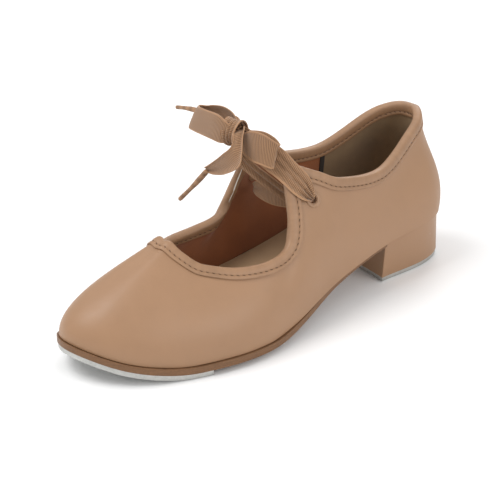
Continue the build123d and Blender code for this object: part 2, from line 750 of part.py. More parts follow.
def strap(frame, place, side):
    """From an eyelet up over its tab and across to the knot."""
    start = frame.origin + frame.z_dir * STRAP_LIFT
    brow = space_point(place, 1.0, 0) + frame.z_dir * STRAP_LIFT + Vector(0, 0, 1.5)
    beside = at(KNOT[0] + side * 5, KNOT[1] - 3, KNOT[2] - 5)
    across = frame.z_dir.cross(brow - start)
    return strip([start, brow, beside], RIBBON_WIDTH * 0.6, RIBBON, across)


def inner_run():
    """The slack run inside, from one eyelet across the instep to the other."""
    ends = [f.origin - f.z_dir * (WALL + STRAP_LIFT) for f in EYELETS]
    middle = (ends[0] + ends[1]) / 2 + Vector(0, -7, -5)
    return strip([ends[0], middle, ends[1]], RIBBON_WIDTH * 0.6, RIBBON, Vector(0, -0.5, 1))


with BuildPart() as ribbon_lace:
    with Locations(Location(at(*KNOT))):
        knot = Box(*KNOT_SIZE)
    fillet(knot.edges(), 0.4 * min(KNOT_SIZE))
    add(loop_form(INNER_FOLD, RIBBON_WIDTH))
    add(loop_form(OUTER_FOLD, RIBBON_WIDTH))
    add(strip([at(*p) for p in FRONT_TAIL], RIBBON_WIDTH * 0.6, RIBBON, Vector(0, -0.4, 1)))
    add(strip([at(*p) for p in BACK_TAIL], RIBBON_WIDTH * 0.6, RIBBON, Vector(0, 0, 1)))
    add(strap(EYELETS[0], EYELET_RIB, 1))
    add(strap(EYELETS[1], COUNT - EYELET_RIB, -1))
    add(inner_run())
    for frame in EYELETS:
        with Locations(Location(frame)):
            from_face(EYELET - EYELET_WALL - 2 * HOLE_CLEARANCE, -WALL - STRAP_LIFT, STRAP_LIFT)
keep(ribbon_lace, "ribbon_lace")

with BuildPart() as lace_tips:
    for near, far in (FRONT_TIP, BACK_TIP):
        start, end = at(*near), at(*far)
        run = (end - start).normalized()
        start = start + run * TIP_GAP
        with Locations(Location(Plane(origin=start, z_dir=run))):
            Cylinder(TIP, TIP_LENGTH - TIP_GAP, align=(Align.CENTER, Align.CENTER, Align.MIN))
keep(lace_tips, "lace_tips")
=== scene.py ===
"""Tap shoe: finished surfaces, stitching, ribbon bow, metal taps and a plain studio stage.

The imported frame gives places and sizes. Lengths in this file's shoe geometry are
millimetres, turned to metres as each mesh is made. The toe points towards -Y, the outer
side of the foot is +X and the ground is z = 0.
"""
import math

import bpy
import numpy as np
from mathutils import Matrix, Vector


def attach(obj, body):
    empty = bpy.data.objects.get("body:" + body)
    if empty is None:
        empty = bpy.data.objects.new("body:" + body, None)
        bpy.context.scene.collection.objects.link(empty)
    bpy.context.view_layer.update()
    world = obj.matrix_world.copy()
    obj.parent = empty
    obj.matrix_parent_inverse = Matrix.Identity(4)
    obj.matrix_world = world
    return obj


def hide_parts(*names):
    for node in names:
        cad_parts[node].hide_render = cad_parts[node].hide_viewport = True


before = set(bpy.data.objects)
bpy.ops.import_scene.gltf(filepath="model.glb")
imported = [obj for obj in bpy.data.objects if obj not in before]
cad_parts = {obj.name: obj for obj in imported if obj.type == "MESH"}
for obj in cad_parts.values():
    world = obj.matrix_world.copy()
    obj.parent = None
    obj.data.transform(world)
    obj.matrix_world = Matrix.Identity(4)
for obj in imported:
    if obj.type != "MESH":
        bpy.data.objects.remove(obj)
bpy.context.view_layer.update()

bl_info = {
    "name": "Tap Shoe Maker",
    "version": (1, 0, 0),
    "blender": (4, 5, 0),
    "location": "View3D > Sidebar > Shoe",
    "description": "Makes a ribbon-tied tap shoe's finished pieces around its packed frame",
    "category": "Object",
}

MM = 0.001
ORIGIN_FORWARD = 32.0      # the origin's distance forward of the heel's back

# the shoe's fixed build, as in its frame
TOE_TAP = 2.7
CEMENT = 0.15
OUTSOLE = 3.6
UPPER = 1.2
STIFFENER = 0.7
LINING = 0.7
GLUE = 0.1
LASTING_MARGIN = 13.0
HEEL_RISE = 24.2
TOE_SPRING = 12.3
SEAT_FLAT = TOE_TAP + CEMENT + OUTSOLE
LINING_OUT = UPPER + STIFFENER + 2 * GLUE
LINING_IN = LINING_OUT + LINING
WALL = LINING_IN

# The last's ribs, heel to toe: feather x outer and inner side, distance forward; topline x
# outer and inner side, distance forward, height; swell; slope at the topline in degrees
RIBS = [
    (0.0, 0.0, 1.8, 0.0, 0.0, 12.5, 54.8, 5.5, 96),
    (17.3, -19.0, 9.0, 6.5, -6.5, 16.0, 56.3, 4.4, 84),
    (25.3, -25.6, 17.5, 13.0, -13.0, 22.0, 55.2, 3.4, 82),
    (28.6, -26.8, 31.0, 17.6, -18.3, 32.0, 52.0, 2.6, 84),
    (29.7, -26.0, 61.0, 24.8, -24.2, 61.0, 42.4, 2.0, 88),
    (31.8, -25.9, 90.0, 25.0, -24.6, 90.5, 51.0, 2.0, 80),
    (33.8, -26.5, 104.0, 20.6, -20.4, 105.0, 60.5, 2.0, 67),
    (36.2, -27.5, 114.5, 13.8, -15.2, 118.6, 68.0, 2.0, 57),
    (38.3, -28.6, 122.5, 16.8, -18.0, 123.0, 62.2, 2.0, 57),
    (40.8, -30.4, 133.0, 25.2, -21.6, 127.4, 49.4, 2.0, 59),
    (43.2, -33.2, 146.0, 31.2, -24.4, 134.4, 39.6, 2.0, 59),
    (45.2, -36.0, 161.0, 31.4, -26.4, 148.6, 36.8, 2.0, 50),
    (44.2, -37.6, 179.0, 26.6, -24.9, 164.4, 36.8, 2.0, 41),
    (37.8, -36.2, 203.0, 17.6, -16.8, 178.2, 39.6, 1.6, 32),
    (26.2, -28.2, 227.0, 9.4, -10.2, 185.2, 41.4, 1.2, 27),
    (11.5, -18.0, 242.0, 3.8, -5.2, 187.7, 40.2, 1.0, 26),
    (-4.5, -4.5, 247.5, -0.6, -0.6, 188.3, 37.4, 0.9, 25),
]
SEAT_RISE = [(-8, 1.03), (0, 1.0), (30, 0.905), (60, 0.79), (90, 0.54), (120, 0.265), (148, 0.03), (164, 0)]
SEAT_SPRING = [(202, 0), (216, 0.135), (232, 0.46), (247.5, 1.0), (254, 1.27)]

LOOP = np.array([(a, s, t, u, h, w, g) for a, _, s, t, _, u, h, w, g in RIBS]
                + [(b, s, t, u, h, w, g) for _, b, s, _, t, u, h, w, g in RIBS[-2:0:-1]], float)
COUNT = len(LOOP)
SEAM_OUTER = 4             # the lining's seams, in ribs round the shoe
SEAM_INNER = COUNT - 4
SEAM_GAP = 0.02            # from a seam to each lining's end, in ribs


# ---------------------------------------------------------------- the last's geometry
def blend_curve(points, place):
    """A smooth curve through (place, value) points that keeps level where they do."""
    if place <= points[0][0]:
        return points[0][1]
    for i in range(len(points) - 1):
        (x0, v0), (x1, v1) = points[i], points[i + 1]
        if place <= x1:
            before = points[max(i - 1, 0)]
            after = points[min(i + 2, len(points) - 1)]
            slope0 = (v1 - before[1]) / (x1 - before[0]) if v1 != v0 and v0 != 0 else 0
            slope1 = (after[1] - v0) / (after[0] - x0) if v1 != v0 and v1 != 0 else 0
            t = (place - x0) / (x1 - x0)
            return (v0 * (2 * t**3 - 3 * t**2 + 1) + v1 * (3 * t**2 - 2 * t**3)
                    + (x1 - x0) * (slope0 * (t**3 - 2 * t**2 + t) + slope1 * (t**3 - t**2)))
    return points[-1][1]


def seat(forward):
    """Height of the outsole's top face at each distance forward."""
    flat = np.atleast_1d(forward)
    rise = [HEEL_RISE * blend_curve(SEAT_RISE, s) + TOE_SPRING * blend_curve(SEAT_SPRING, s)
            for s in flat.ravel()]
    return SEAT_FLAT + np.array(rise).reshape(flat.shape)


def smooth_rows(rows, places, closed=True):
    """Rows of numbers read at any place between them, along a smooth curve."""
    base = np.floor(places).astype(int)
    t = (places - base).reshape((-1,) + (1,) * (rows.ndim - 1))
    if closed:
        a, b, c, d = (rows[(base + k) % len(rows)] for k in (-1, 0, 1, 2))
    else:
        a, b, c, d = (rows[np.clip(base + k, 0, len(rows) - 1)] for k in (-1, 0, 1, 2))
    return b + 0.5 * t * (c - a + t * (2 * a - 5 * b + 4 * c - d + t * (3 * (b - c) + d - a)))


def face_point(places, shares):
    """Points on the upper's face: a share of 0 is the feather line and 1 the topline."""
    shares = np.broadcast_to(shares, places.shape)[:, None]
    fx, fs, tx, ts, rise, swell, slope = smooth_rows(LOOP, places).T
    run = np.hypot(tx - fx, ts - fs)
    reach = 0.4 * np.hypot(run, rise)
    slope = np.radians(slope)
    base = seat(fs) + CEMENT
    hull = [np.stack([0 * run, base], 1), np.stack([-swell, base + 0.45 * rise], 1),
            np.stack([run - reach * np.cos(slope), base + rise - reach * np.sin(slope)], 1),
            np.stack([run, base + rise], 1)]
    t = np.clip(shares, 0, 1)
    flat = ((1 - t)**3 * hull[0] + 3 * t * (1 - t)**2 * hull[1]
            + 3 * t**2 * (1 - t) * hull[2] + t**3 * hull[3])
    flat = flat + 3 * (hull[3] - hull[2]) * np.maximum(shares - 1, 0)
    inward = np.stack([(tx - fx) / run, (fs - ts) / run], 1)
    plan = np.stack([fx, ORIGIN_FORWARD - fs], 1) + inward * flat[:, :1]
    return np.concatenate([plan, flat[:, 1:]], 1)


def unit(vectors):
    return vectors / np.linalg.norm(vectors, axis=-1, keepdims=True)


def face_slopes(places, shares):
    """How the face moves for a step round the shoe and for a step up it."""
    step = 0.01
    low = np.clip(shares, step, 1 - step)
    around = (face_point(places + step, low) - face_point(places - step, low)) / (2 * step)
    up = (face_point(places, low + step) - face_point(places, low - step)) / (2 * step)
    return around, up


def wall(places, shares, depths):
    """Points of the wall at depths measured squarely inwards from the upper's face."""
    shares = np.broadcast_to(shares, places.shape).astype(float)
    depths = np.broadcast_to(depths, places.shape)[:, None]
    around, up = face_slopes(places, shares)
    return face_point(places, shares) - unit(np.cross(up, around)) * depths


def wall_grid(places, rows):
    """A grid of wall points: each row is a (share, depth) pair."""
    return np.stack([wall(places, share, depth) for share, depth in rows], 1)


def topline_walk(places, drop, steps=8):
    """Where a walk over the face ends that leaves the topline squarely, drop millimetres down."""
    around, up = face_slopes(places, np.ones(len(places)))
    down = unit(np.cross(around, np.cross(around, up)))
    spots, shares = places.astype(float), np.ones(len(places))
    for _ in range(steps):
        around, up = face_slopes(spots, shares)
        aa, ab, bb = (around * around).sum(1), (around * up).sum(1), (up * up).sum(1)
        da, db = (down * around).sum(1) * drop / steps, (down * up).sum(1) * drop / steps
        room = aa * bb - ab * ab
        spots = spots + (da * bb - db * ab) / room
        shares = shares + (db * aa - da * ab) / room
    return spots, shares


def topline_grid(places, profile):
    """A grid that follows the topline squarely: rows are (distance below it, depth) pairs."""
    around, up = face_slopes(places, np.ones(len(places)))
    down = unit(np.cross(around, np.cross(around, up)))
    rows = []
    for drop, depth in profile:
        if drop > 0:
            rows.append(wall(*topline_walk(places, drop), depth))
        else:
            rows.append(wall(places, 1.0, depth) + down * drop)
    return np.stack(rows, 1)


def margin_grid(places, widths):
    """The lasting margin's rows, turned in under the insole from the feather line."""
    fx, fs, tx, ts = smooth_rows(LOOP, places)[:, :4].T
    run = np.hypot(tx - fx, ts - fs)
    rows = []
    for width in widths:
        s = fs + (ts - fs) / run * width
        rows.append(np.stack([fx + (tx - fx) / run * width, ORIGIN_FORWARD - s, seat(s) + CEMENT], 1))
    return np.stack(rows, 1)


def ring_places(count, first=0.0, last=float(COUNT)):
    """Even places round the shoe, in ribs. Both ends are in."""
    return first + (last - first) * np.arange(count + 1) / count


def wall_spot(place, share):
    """A point on the upper's face and the direction straight out of it."""
    here = np.array([place])
    point = wall(here, share, 0)[0]
    up = wall(here, share + 0.02, 0)[0] - wall(here, share - 0.02, 0)[0]
    along = wall(here + 0.1, share, 0)[0] - wall(here - 0.1, share, 0)[0]
    return point, unit(np.cross(up, along))


# ---------------------------------------------------------------- mesh helpers
def start_clean():
    """Out of edit mode, with nothing selected."""
    if bpy.context.object and bpy.context.object.mode != "OBJECT":
        bpy.ops.object.mode_set(mode="OBJECT")
    bpy.ops.object.select_all(action="DESELECT")


def pick(piece):
    start_clean()
    piece.select_set(True)
    bpy.context.view_layer.objects.active = piece


def edit(piece, *steps):
    """Runs mesh operators on all of a piece. Each step is an operator and its settings."""
    pick(piece)
    bpy.ops.object.mode_set(mode="EDIT")
    bpy.ops.mesh.select_all(action="SELECT")
    for operator, settings in steps:
        operator(**settings)
    bpy.ops.object.mode_set(mode="OBJECT")


def modify(piece, kind, **settings):
    """Adds a modifier and applies it."""
    pick(piece)
    name = bpy.data.objects[piece.name].modifiers.new(kind.title(), kind).name
    for key, value in settings.items():
        setattr(piece.modifiers[name], key, value)
    bpy.ops.object.modifier_apply(modifier=name)


def settle(piece):
    """Puts the piece's place into its mesh."""
    pick(piece)
    bpy.ops.object.transform_apply(location=True, rotation=True, scale=True)


def read_points(mesh):
    """A mesh's vertices as rows of x, y and z."""
    flat = np.zeros(len(mesh.vertices) * 3)
    mesh.vertices.foreach_get("co", flat)
    return flat.reshape(-1, 3)


def write_points(mesh, points):
    mesh.vertices.foreach_set("co", points.ravel())
    mesh.update()


def facing(direction):
    """The turn that stands a primitive's axis along a direction."""
    return Vector(direction).to_track_quat("Z", "Y").to_euler()


def grid_piece(name, points, uv, merge=False):
    """A grid primitive pulled onto points (columns, rows, xyz in mm), with its own UV."""
    columns, rows = points.shape[:2]
    start_clean()
    bpy.ops.mesh.primitive_grid_add(x_subdivisions=columns - 1, y_subdivisions=rows - 1, size=2)
    piece = bpy.context.object
    piece.name = piece.data.name = name
    mesh = piece.data
    flat = read_points(mesh)
    column = np.rint((flat[:, 0] + 1) / 2 * (columns - 1)).astype(int)
    row = np.rint((flat[:, 1] + 1) / 2 * (rows - 1)).astype(int)
    write_points(mesh, points[column, row] * MM)
    corner = np.zeros(len(mesh.loops), int)
    mesh.loops.foreach_get("vertex_index", corner)
    mesh.uv_layers[0].data.foreach_set("uv", uv[column[corner], row[corner]].astype(float).ravel())
    mesh.update()
    if merge:
        edit(piece, (bpy.ops.mesh.remove_doubles, {"threshold": 0.00001}))
    return piece


def grid_uv(points):
    """UV in metres along and across a grid, from its own lengths."""
    along = np.linalg.norm(np.diff(points, axis=0), axis=2).mean(1)
    across = np.linalg.norm(np.diff(points, axis=1), axis=2).mean(0)
    u = np.concatenate([[0], np.cumsum(along)]) * MM
    v = np.concatenate([[0], np.cumsum(across)]) * MM
    return np.stack(np.meshgrid(u, v, indexing="ij"), 2)


def flatten_along(piece, centre, direction, share):
    """Squeezes a piece towards a plane through a point."""
    spots = read_points(piece.data)
    height = (spots - np.array(centre) * MM) @ direction
    write_points(piece.data, spots - np.outer(height * (1 - share), direction))


def face_out(piece, towards):
    """Turns a sheet's faces so that its outermost face, along a direction, points that way."""
    count = len(piece.data.polygons)
    normals, centres = np.zeros(count * 3), np.zeros(count * 3)
    piece.data.polygons.foreach_get("normal", normals)
    piece.data.polygons.foreach_get("center", centres)
    furthest = np.argmax(centres.reshape(-1, 3) @ np.array(towards, float))
    if normals.reshape(-1, 3)[furthest] @ np.array(towards, float) < 0:
        edit(piece, (bpy.ops.mesh.flip_normals, {}))


def close_outwards(piece):
    """Turns a closed piece's faces outwards."""
    edit(piece, (bpy.ops.mesh.normals_make_consistent, {"inside": False}))


def smooth(piece, angle=40):
    pick(piece)
    bpy.ops.object.shade_smooth_by_angle(angle=math.radians(angle))


def join(name, pieces):
    """One piece out of several."""
    start_clean()
    for piece in pieces:
        piece.select_set(True)
    bpy.context.view_layer.objects.active = pieces[0]
    if len(pieces) > 1:
        bpy.ops.object.join()
    whole = bpy.context.object
    whole.name = whole.data.name = name
    return whole


def finish_piece(piece, material, nodes=()):
    """Gives a piece its material and slot, rides it on the shoe and hides what it replaces."""
    piece.data.materials.clear()
    piece.data.materials.append(material)
    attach(piece, "root")
    if nodes:
        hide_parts(*nodes)


SAME_POINT = 0.00002       # metres
SAME_PLANE = 0.3           # degrees
SHARP = 32


def soft_copy(node, name, bevel, segments=3):
    """A copy of a frame piece with its facets merged and its sharp edges rounded."""
    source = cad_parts[node]
    start_clean()
    copy = source.copy()
    copy.data = source.data.copy()
    copy.parent = None
    copy.name = copy.data.name = name
    bpy.context.collection.objects.link(copy)
    edit(copy, (bpy.ops.mesh.remove_doubles, {"threshold": SAME_POINT}),
         (bpy.ops.mesh.dissolve_limited, {"angle_limit": math.radians(SAME_PLANE)}))
    modify(copy, "BEVEL", width=bevel * MM, segments=segments, limit_method="ANGLE",
           angle_limit=math.radians(SHARP))
    modify(copy, "TRIANGULATE")
    smooth(copy, 35)
    return copy


# ---------------------------------------------------------------- shader helpers
def tint(red, green, blue):
    """A colour given in everyday 0-255 values, as the linear colour a shader takes."""
    def linear(value):
        value /= 255
        return value / 12.92 if value <= 0.04045 else ((value + 0.055) / 1.055)**2.4
    return (linear(red), linear(green), linear(blue), 1.0)


def shaded(colour, factor):
    """The colour darker or lighter by a factor."""
    return tuple(min(1, c * factor) for c in colour[:3]) + (1,)


class Wire:
    """A shader socket that takes Python's arithmetic."""

    def __init__(self, finish, socket):
        self.finish = finish
        self.socket = socket

    def math(self, operation, *others, swap=False):
        values = [self, *others]
        if swap:
            values.reverse()
        return self.finish.add("ShaderNodeMath", {"operation": operation}, dict(enumerate(values)))

    def __add__(self, other):
        return self.math("ADD", other)

    __radd__ = __add__

    def __sub__(self, other):
        return self.math("SUBTRACT", other)

    def __rsub__(self, other):
        return self.math("SUBTRACT", other, swap=True)

    def __mul__(self, other):
        return self.math("MULTIPLY", other)

    __rmul__ = __mul__


class Finish:
    """A material under construction."""

    def __init__(self, name, **constants):
        self.material = bpy.data.materials.new(name)
        self.material.use_nodes = True
        self.tree = self.material.node_tree
        self.shader = self.tree.nodes["Principled BSDF"]
        for key, value in constants.items():
            self.shader.inputs[key.replace("_", " ").title().replace("Ior", "IOR")].default_value = value

    def add(self, kind, settings=None, sockets=None, output=0):
        node = self.tree.nodes.new(kind)
        for key, value in (settings or {}).items():
            setattr(node, key, value)
        for key, value in (sockets or {}).items():
            if isinstance(value, Wire):
                self.tree.links.new(value.socket, node.inputs[key])
            else:
                node.inputs[key].default_value = value
        return Wire(self, node.outputs[output])

    def coordinates(self, output="Object"):
        return self.add("ShaderNodeTexCoord", output=output)

    def part(self, vector, axis):
        return self.add("ShaderNodeSeparateXYZ", None, {0: vector}, output=axis)

    def noise(self, vector, scale, detail=3.0, roughness=0.55):
        return self.add("ShaderNodeTexNoise", None, {"Vector": vector, "Scale": scale,
                                                     "Detail": detail, "Roughness": roughness})

    def cells(self, vector, scale, feature="F1"):
        return self.add("ShaderNodeTexVoronoi", {"feature": feature}, {"Vector": vector, "Scale": scale})

    def ramp(self, value, low, high, to_low=0.0, to_high=1.0):
        return self.add("ShaderNodeMapRange", {"interpolation_type": "SMOOTHSTEP"},
                        {"Value": value, "From Min": low, "From Max": high,
                         "To Min": to_low, "To Max": to_high})

    def mix(self, factor, first, second):
        node = self.tree.nodes.new("ShaderNodeMix")
        node.data_type = "RGBA"    # whose factor and colours are inputs 0, 6 and 7
        for socket, value in ((node.inputs[0], factor), (node.inputs[6], first), (node.inputs[7], second)):
            if isinstance(value, Wire):
                self.tree.links.new(value.socket, socket)
            else:
                socket.default_value = value
        return Wire(self, node.outputs[2])

    def colour(self, factor, first, second):
        """The base colour: first where the factor is 0 and second where it is 1."""
        self.tree.links.new(self.mix(factor, first, second).socket, self.shader.inputs["Base Color"])

    def rough(self, value, least, most, extra=0.0):
        """Roughness from least to most over a value's middle range, and any extra."""
        amount = self.ramp(value, 0.3, 0.7, least, most)
        if extra:
            amount = amount + extra
        self.tree.links.new(amount.socket, self.shader.inputs["Roughness"])

    def bump(self, height, distance, strength):
        bumped = self.add("ShaderNodeBump", None,
                          {"Height": height, "Distance": distance, "Strength": strength})
        self.tree.links.new(bumped.socket, self.shader.inputs["Normal"])


def stretched(finish, vector, x=1.0, y=1.0, z=1.0):
    return finish.add("ShaderNodeMapping", None, {"Vector": vector, "Scale": (x, y, z)})


# ---------------------------------------------------------------- finishes
def smooth_tan_leather(colour):
    """Satin synthetic leather: an almost even tan with a fine pebble and soft pulls."""
    f = Finish("smooth_tan_leather", specular_ior_level=0.42)
    place = f.coordinates()
    cloud = f.noise(place, 22, 4)
    mottle = f.noise(place, 160, 3)
    pebble = f.cells(place, 1500)
    pores = f.noise(place, 2600, 2)
    pulls = f.noise(stretched(f, place, 1, 0.35, 1), 70, 5)
    dark = shaded(colour, 0.94)
    light = shaded(colour, 1.03)
    tone = f.ramp(cloud * 0.65 + mottle * 0.35, 0.2, 0.8)
    f.colour(f.ramp(pores, 0.38, 0.62, 0.10, 0.0), f.mix(tone, dark, light), dark)
    f.rough(mottle * 0.5 + pulls * 0.5, 0.40, 0.52)
    f.bump(pebble * 0.5 + pores * 0.35 + pulls * 1.2, 0.00006, 0.55)
    return f.material


def grosgrain(name, colour, pitch, edge_width, width):
    """A ribbed tape with plain edges. UV runs along the tape in metres, then across it."""
    f = Finish(name, specular_ior_level=0.3, sheen_weight=0.25, sheen_roughness=0.45)
    uv = f.coordinates("UV")
    along, across = f.part(uv, 0), f.part(uv, 1)
    wander = f.noise(uv, 260, 2)
    wave = ((along + wander * (pitch * 0.35)) * (math.tau / pitch)).math("SINE") * 0.5 + 0.5
    weft = (across * (math.tau / (pitch * 0.55))).math("SINE") * 0.5 + 0.5
    fibre = f.noise(stretched(f, uv, 0.35, 1, 1), 5200, 3)
    shade = f.noise(uv, 90, 3)
    # Painted shade and highlight: the colour is darkest in the grooves between the ribs and lighter than
    # the ribbon on their crests, following the same rib wave as the bump.
    dark = shaded(colour, 0.42)
    light = shaded(colour, 1.18)
    rib = wave * 0.75 + weft * 0.12 + fibre * 0.2
    inside = (f.ramp(across, edge_width * 0.8, edge_width * 1.1)
              * f.ramp(across, width - edge_width * 1.1, width - edge_width * 0.8, 1.0, 0.0))
    rib = rib * inside + (1 - inside) * 0.72
    tone = f.ramp(rib, 0.05, 0.95) * 0.8 + shade * 0.2
    f.colour(tone, dark, light)
    f.rough(fibre, 0.62, 0.82)
    f.bump(rib, pitch * 0.34, 1.0)
    return f.material


def lining_cloth(name, colour):
    """A close brushed lining, its tone darker in places at random."""
    f = Finish(name, specular_ior_level=0.25, sheen_weight=0.3, sheen_roughness=0.5)
    place = f.coordinates()
    nap = f.noise(stretched(f, place, 1, 1, 2.2), 1900, 3)
    cloud = f.noise(place, 45, 4)
    weave = f.cells(place, 2200)
    dark = shaded(colour, 0.7)
    tone = f.ramp(cloud * 0.6 + nap * 0.4, 0.3, 0.7)
    f.colour(tone, dark, colour)
    f.rough(nap, 0.7, 0.9)
    f.bump(nap * 0.7 + weave * 0.3, 0.00012, 0.6)
    return f.material


def sock_sheet(colour):
    f = Finish("sock_sheet", specular_ior_level=0.3)
    place = f.coordinates()
    cloud = f.noise(place, 30, 4)
    grain = f.cells(place, 900, "SMOOTH_F1")
    fine = f.noise(place, 2300, 2)
    dark = shaded(colour, 0.84)
    f.colour(f.ramp(cloud * 0.7 + fine * 0.3, 0.3, 0.7), dark, colour)
    f.rough(fine, 0.5, 0.65)
    f.bump(grain * 0.6 + fine * 0.4, 0.00008, 0.6)
    return f.material


def brown_sole(colour):
    """Trimmed sole: burnished layers along the edge, a scuffed grain underneath."""
    f = Finish("brown_sole", specular_ior_level=0.35)
    place = f.coordinates()
    height = f.part(place, 2)
    layers = f.noise(stretched(f, place, 0.25, 0.25, 9), 330, 3)
    grain = f.noise(place, 900, 4)
    scuff = f.noise(stretched(f, place, 4, 0.6, 1), 60, 5)
    dark = shaded(colour, 0.66)
    worn = shaded(colour, 1.3)
    body = f.mix(f.ramp(layers * 0.6 + grain * 0.4, 0.3, 0.7), dark, colour)
    f.colour(f.ramp(scuff, 0.58, 0.78, 0, 0.5) * f.ramp(height, 0.0, 0.02, 1, 0.4), body, worn)
    f.rough(scuff * 0.5 + grain * 0.5, 0.42, 0.6)
    f.bump(layers * 0.6 + grain * 0.6, 0.00012, 0.6)
    return f.material


def cast_aluminium(colour):
    """Cast and tumbled metal: a satin face with dance scratches below."""
    f = Finish("cast_aluminium", metallic=1.0)
    place = f.coordinates()
    cast = f.noise(place, 650, 4)
    cloud = f.noise(place, 60, 3)
    scratch = f.noise(stretched(f, place, 9, 0.7, 1), 130, 6, 0.7)
    fine = f.noise(stretched(f, place, 0.8, 10, 1), 240, 6, 0.7)
    marks = f.ramp(scratch, 0.56, 0.64) * 0.6 + f.ramp(fine, 0.58, 0.66) * 0.4
    dark = shaded(colour, 0.72)
    f.colour(f.ramp(cast * 0.4 + cloud * 0.6, 0.3, 0.7), dark, colour)
    f.rough(cloud * 0.5 + cast * 0.5, 0.3, 0.46, marks * 0.1)
    f.bump(cast * 0.7 - marks * 0.5, 0.00007, 0.7)
    return f.material


def zinc_steel():
    f = Finish("zinc_steel", metallic=1.0)
    place = f.coordinates()
    spangle = f.cells(place, 900)
    rub = f.noise(place, 1400, 3)
    f.colour(f.ramp(spangle, 0.1, 0.7), tint(128, 130, 133), tint(176, 177, 178))
    f.rough(rub, 0.24, 0.42)
    f.bump(rub, 0.00003, 0.5)
    return f.material


def rolled_ribbon(colour, pitch):
    """The ribbon's rolled and stiffened end: a tight spiral of ribs."""
    f = Finish("rolled_ribbon", specular_ior_level=0.4)
    uv = f.coordinates("UV")
    along, around = f.part(uv, 0), f.part(uv, 1)
    turn = (along * 1050 + around * 260).math("SINE") * 0.5 + 0.5
    ribs = (along * (math.tau / pitch)).math("SINE") * 0.5 + 0.5
    fibre = f.noise(uv, 4200, 3)
    # Painted shade: the colour darkens in the spiral's turns and between the ribs, where the bump sinks.
    dark = shaded(colour, 0.55)
    f.colour(f.ramp(turn * 0.45 + ribs * 0.3 + fibre * 0.35, 0.2, 0.9), dark, colour)
    f.rough(fibre, 0.5, 0.7)
    f.bump(turn * 0.5 + ribs * 0.3 + fibre * 0.2, 0.00018, 0.8)
    return f.material


def plain_cloth(name, colour, pitch=0.0006):
    f = Finish(name, specular_ior_level=0.25, sheen_weight=0.2)
    place = f.coordinates()
    across = (f.part(place, 0) * (math.tau / pitch)).math("SINE")
    upward = (f.part(place, 2) * (math.tau / pitch)).math("SINE")
    weave = across * upward * 0.5 + 0.5
    fibre = f.noise(place, 3800, 3)
    dark = shaded(colour, 0.7)
    f.colour(f.ramp(weave * 0.5 + fibre * 0.5, 0.2, 0.8), dark, colour)
    f.rough(fibre, 0.7, 0.88)
    f.bump(weave * 0.6 + fibre * 0.4, 0.0001, 0.6)
    return f.material


def tan_enamel(colour):
    f = Finish("tan_enamel", specular_ior_level=0.5)
    place = f.coordinates()
    orange_peel = f.noise(place, 1300, 2)
    chips = f.noise(place, 420, 4)
    f.colour(f.ramp(chips, 0.4, 0.7), colour, shaded(colour, 0.8))
    f.rough(orange_peel, 0.34, 0.46)
    f.bump(orange_peel, 0.00004, 0.5)
    return f.material


def granular(name, colour, scale):
    """A pressed or moulded body with a fine grain."""
    f = Finish(name, specular_ior_level=0.3)
    place = f.coordinates()
    grains = f.cells(place, scale)
    fine = f.noise(place, scale * 2.5, 3)
    dark = shaded(colour, 0.6)
    f.colour(f.ramp(grains * 0.7 + fine * 0.3, 0.1, 0.7), dark, colour)
    f.rough(fine, 0.6, 0.8)
    f.bump(grains * 0.6 + fine * 0.4, 0.00015, 0.6)
    return f.material


def binding_leather(colour):
    """The upper's leather cut as a soft tape, a little darker in places at random."""
    f = Finish("binding_leather", specular_ior_level=0.42)
    uv = f.coordinates("UV")
    place = f.coordinates()
    cloud = f.noise(place, 60, 4)
    pores = f.noise(place, 2400, 2)
    pull = f.noise(stretched(f, uv, 1, 0.2, 1), 420, 3)
    dark = shaded(colour, 0.82)
    f.colour(f.ramp(cloud * 0.6 + pull * 0.4, 0.3, 0.7), dark, colour)
    f.rough(pores, 0.42, 0.55)
    f.bump(pull * 1.5 + pores * 0.4, 0.00009, 0.6)
    return f.material


def waxed_thread(colour):
    f = Finish("waxed_thread", specular_ior_level=0.4)
    place = f.coordinates()
    twist = f.noise(place, 5200, 2)
    f.colour(f.ramp(twist, 0.3, 0.7), shaded(colour, 0.6), colour)
    f.rough(twist, 0.45, 0.65)
    f.bump(twist, 0.00005, 0.6)
    return f.material


def studio_paper():
    f = Finish("studio_paper", specular_ior_level=0.1)
    place = f.coordinates()
    f.colour(f.ramp(f.noise(place, 4, 2), 0.3, 0.7), (0.90, 0.90, 0.90, 1), (0.93, 0.93, 0.93, 1))
    f.rough(f.noise(place, 900, 2), 0.85, 0.95)
    return f.material


# ---------------------------------------------------------------- settings
BINDING_STAND = 0.00075    # the stand that the binding's section is drawn with


def length_setting(name, description, default, least, most):
    return bpy.props.FloatProperty(name=name, description=description, default=default,
                                   min=least, max=most, unit="LENGTH")


class ShoeSizes(bpy.types.PropertyGroup):
    """Sizes of the trim that a maker would change."""
    binding_stand: length_setting("Binding stand", "How far the topline tape stands off the leather",
                                  BINDING_STAND, 0.0003, 0.002)
    binding_reach: length_setting("Binding reach", "How far the topline tape reaches down each face",
                                  0.0062, 0.003, 0.012)
    stitch_pitch: length_setting("Stitch pitch", "Distance from one binding stitch to the next",
                                 0.0031, 0.0015, 0.006)
    ribbon_thickness: length_setting("Ribbon thickness", "Thickness of the grosgrain ribbon",
                                     0.0005, 0.0002, 0.001)
    rib_pitch: length_setting("Ribbon rib pitch", "Distance between the ribbon's cross ribs",
                              0.0009, 0.0004, 0.002)
    edge_round: length_setting("Edge round", "Rounding of the sole's and the heel's edges",
                               0.0004, 0.0001, 0.001)


def colour_setting(name, description, red, green, blue):
    return bpy.props.FloatVectorProperty(name=name, description=description, subtype="COLOR", size=4,
                                         default=tint(red, green, blue), min=0.0, max=1.0)


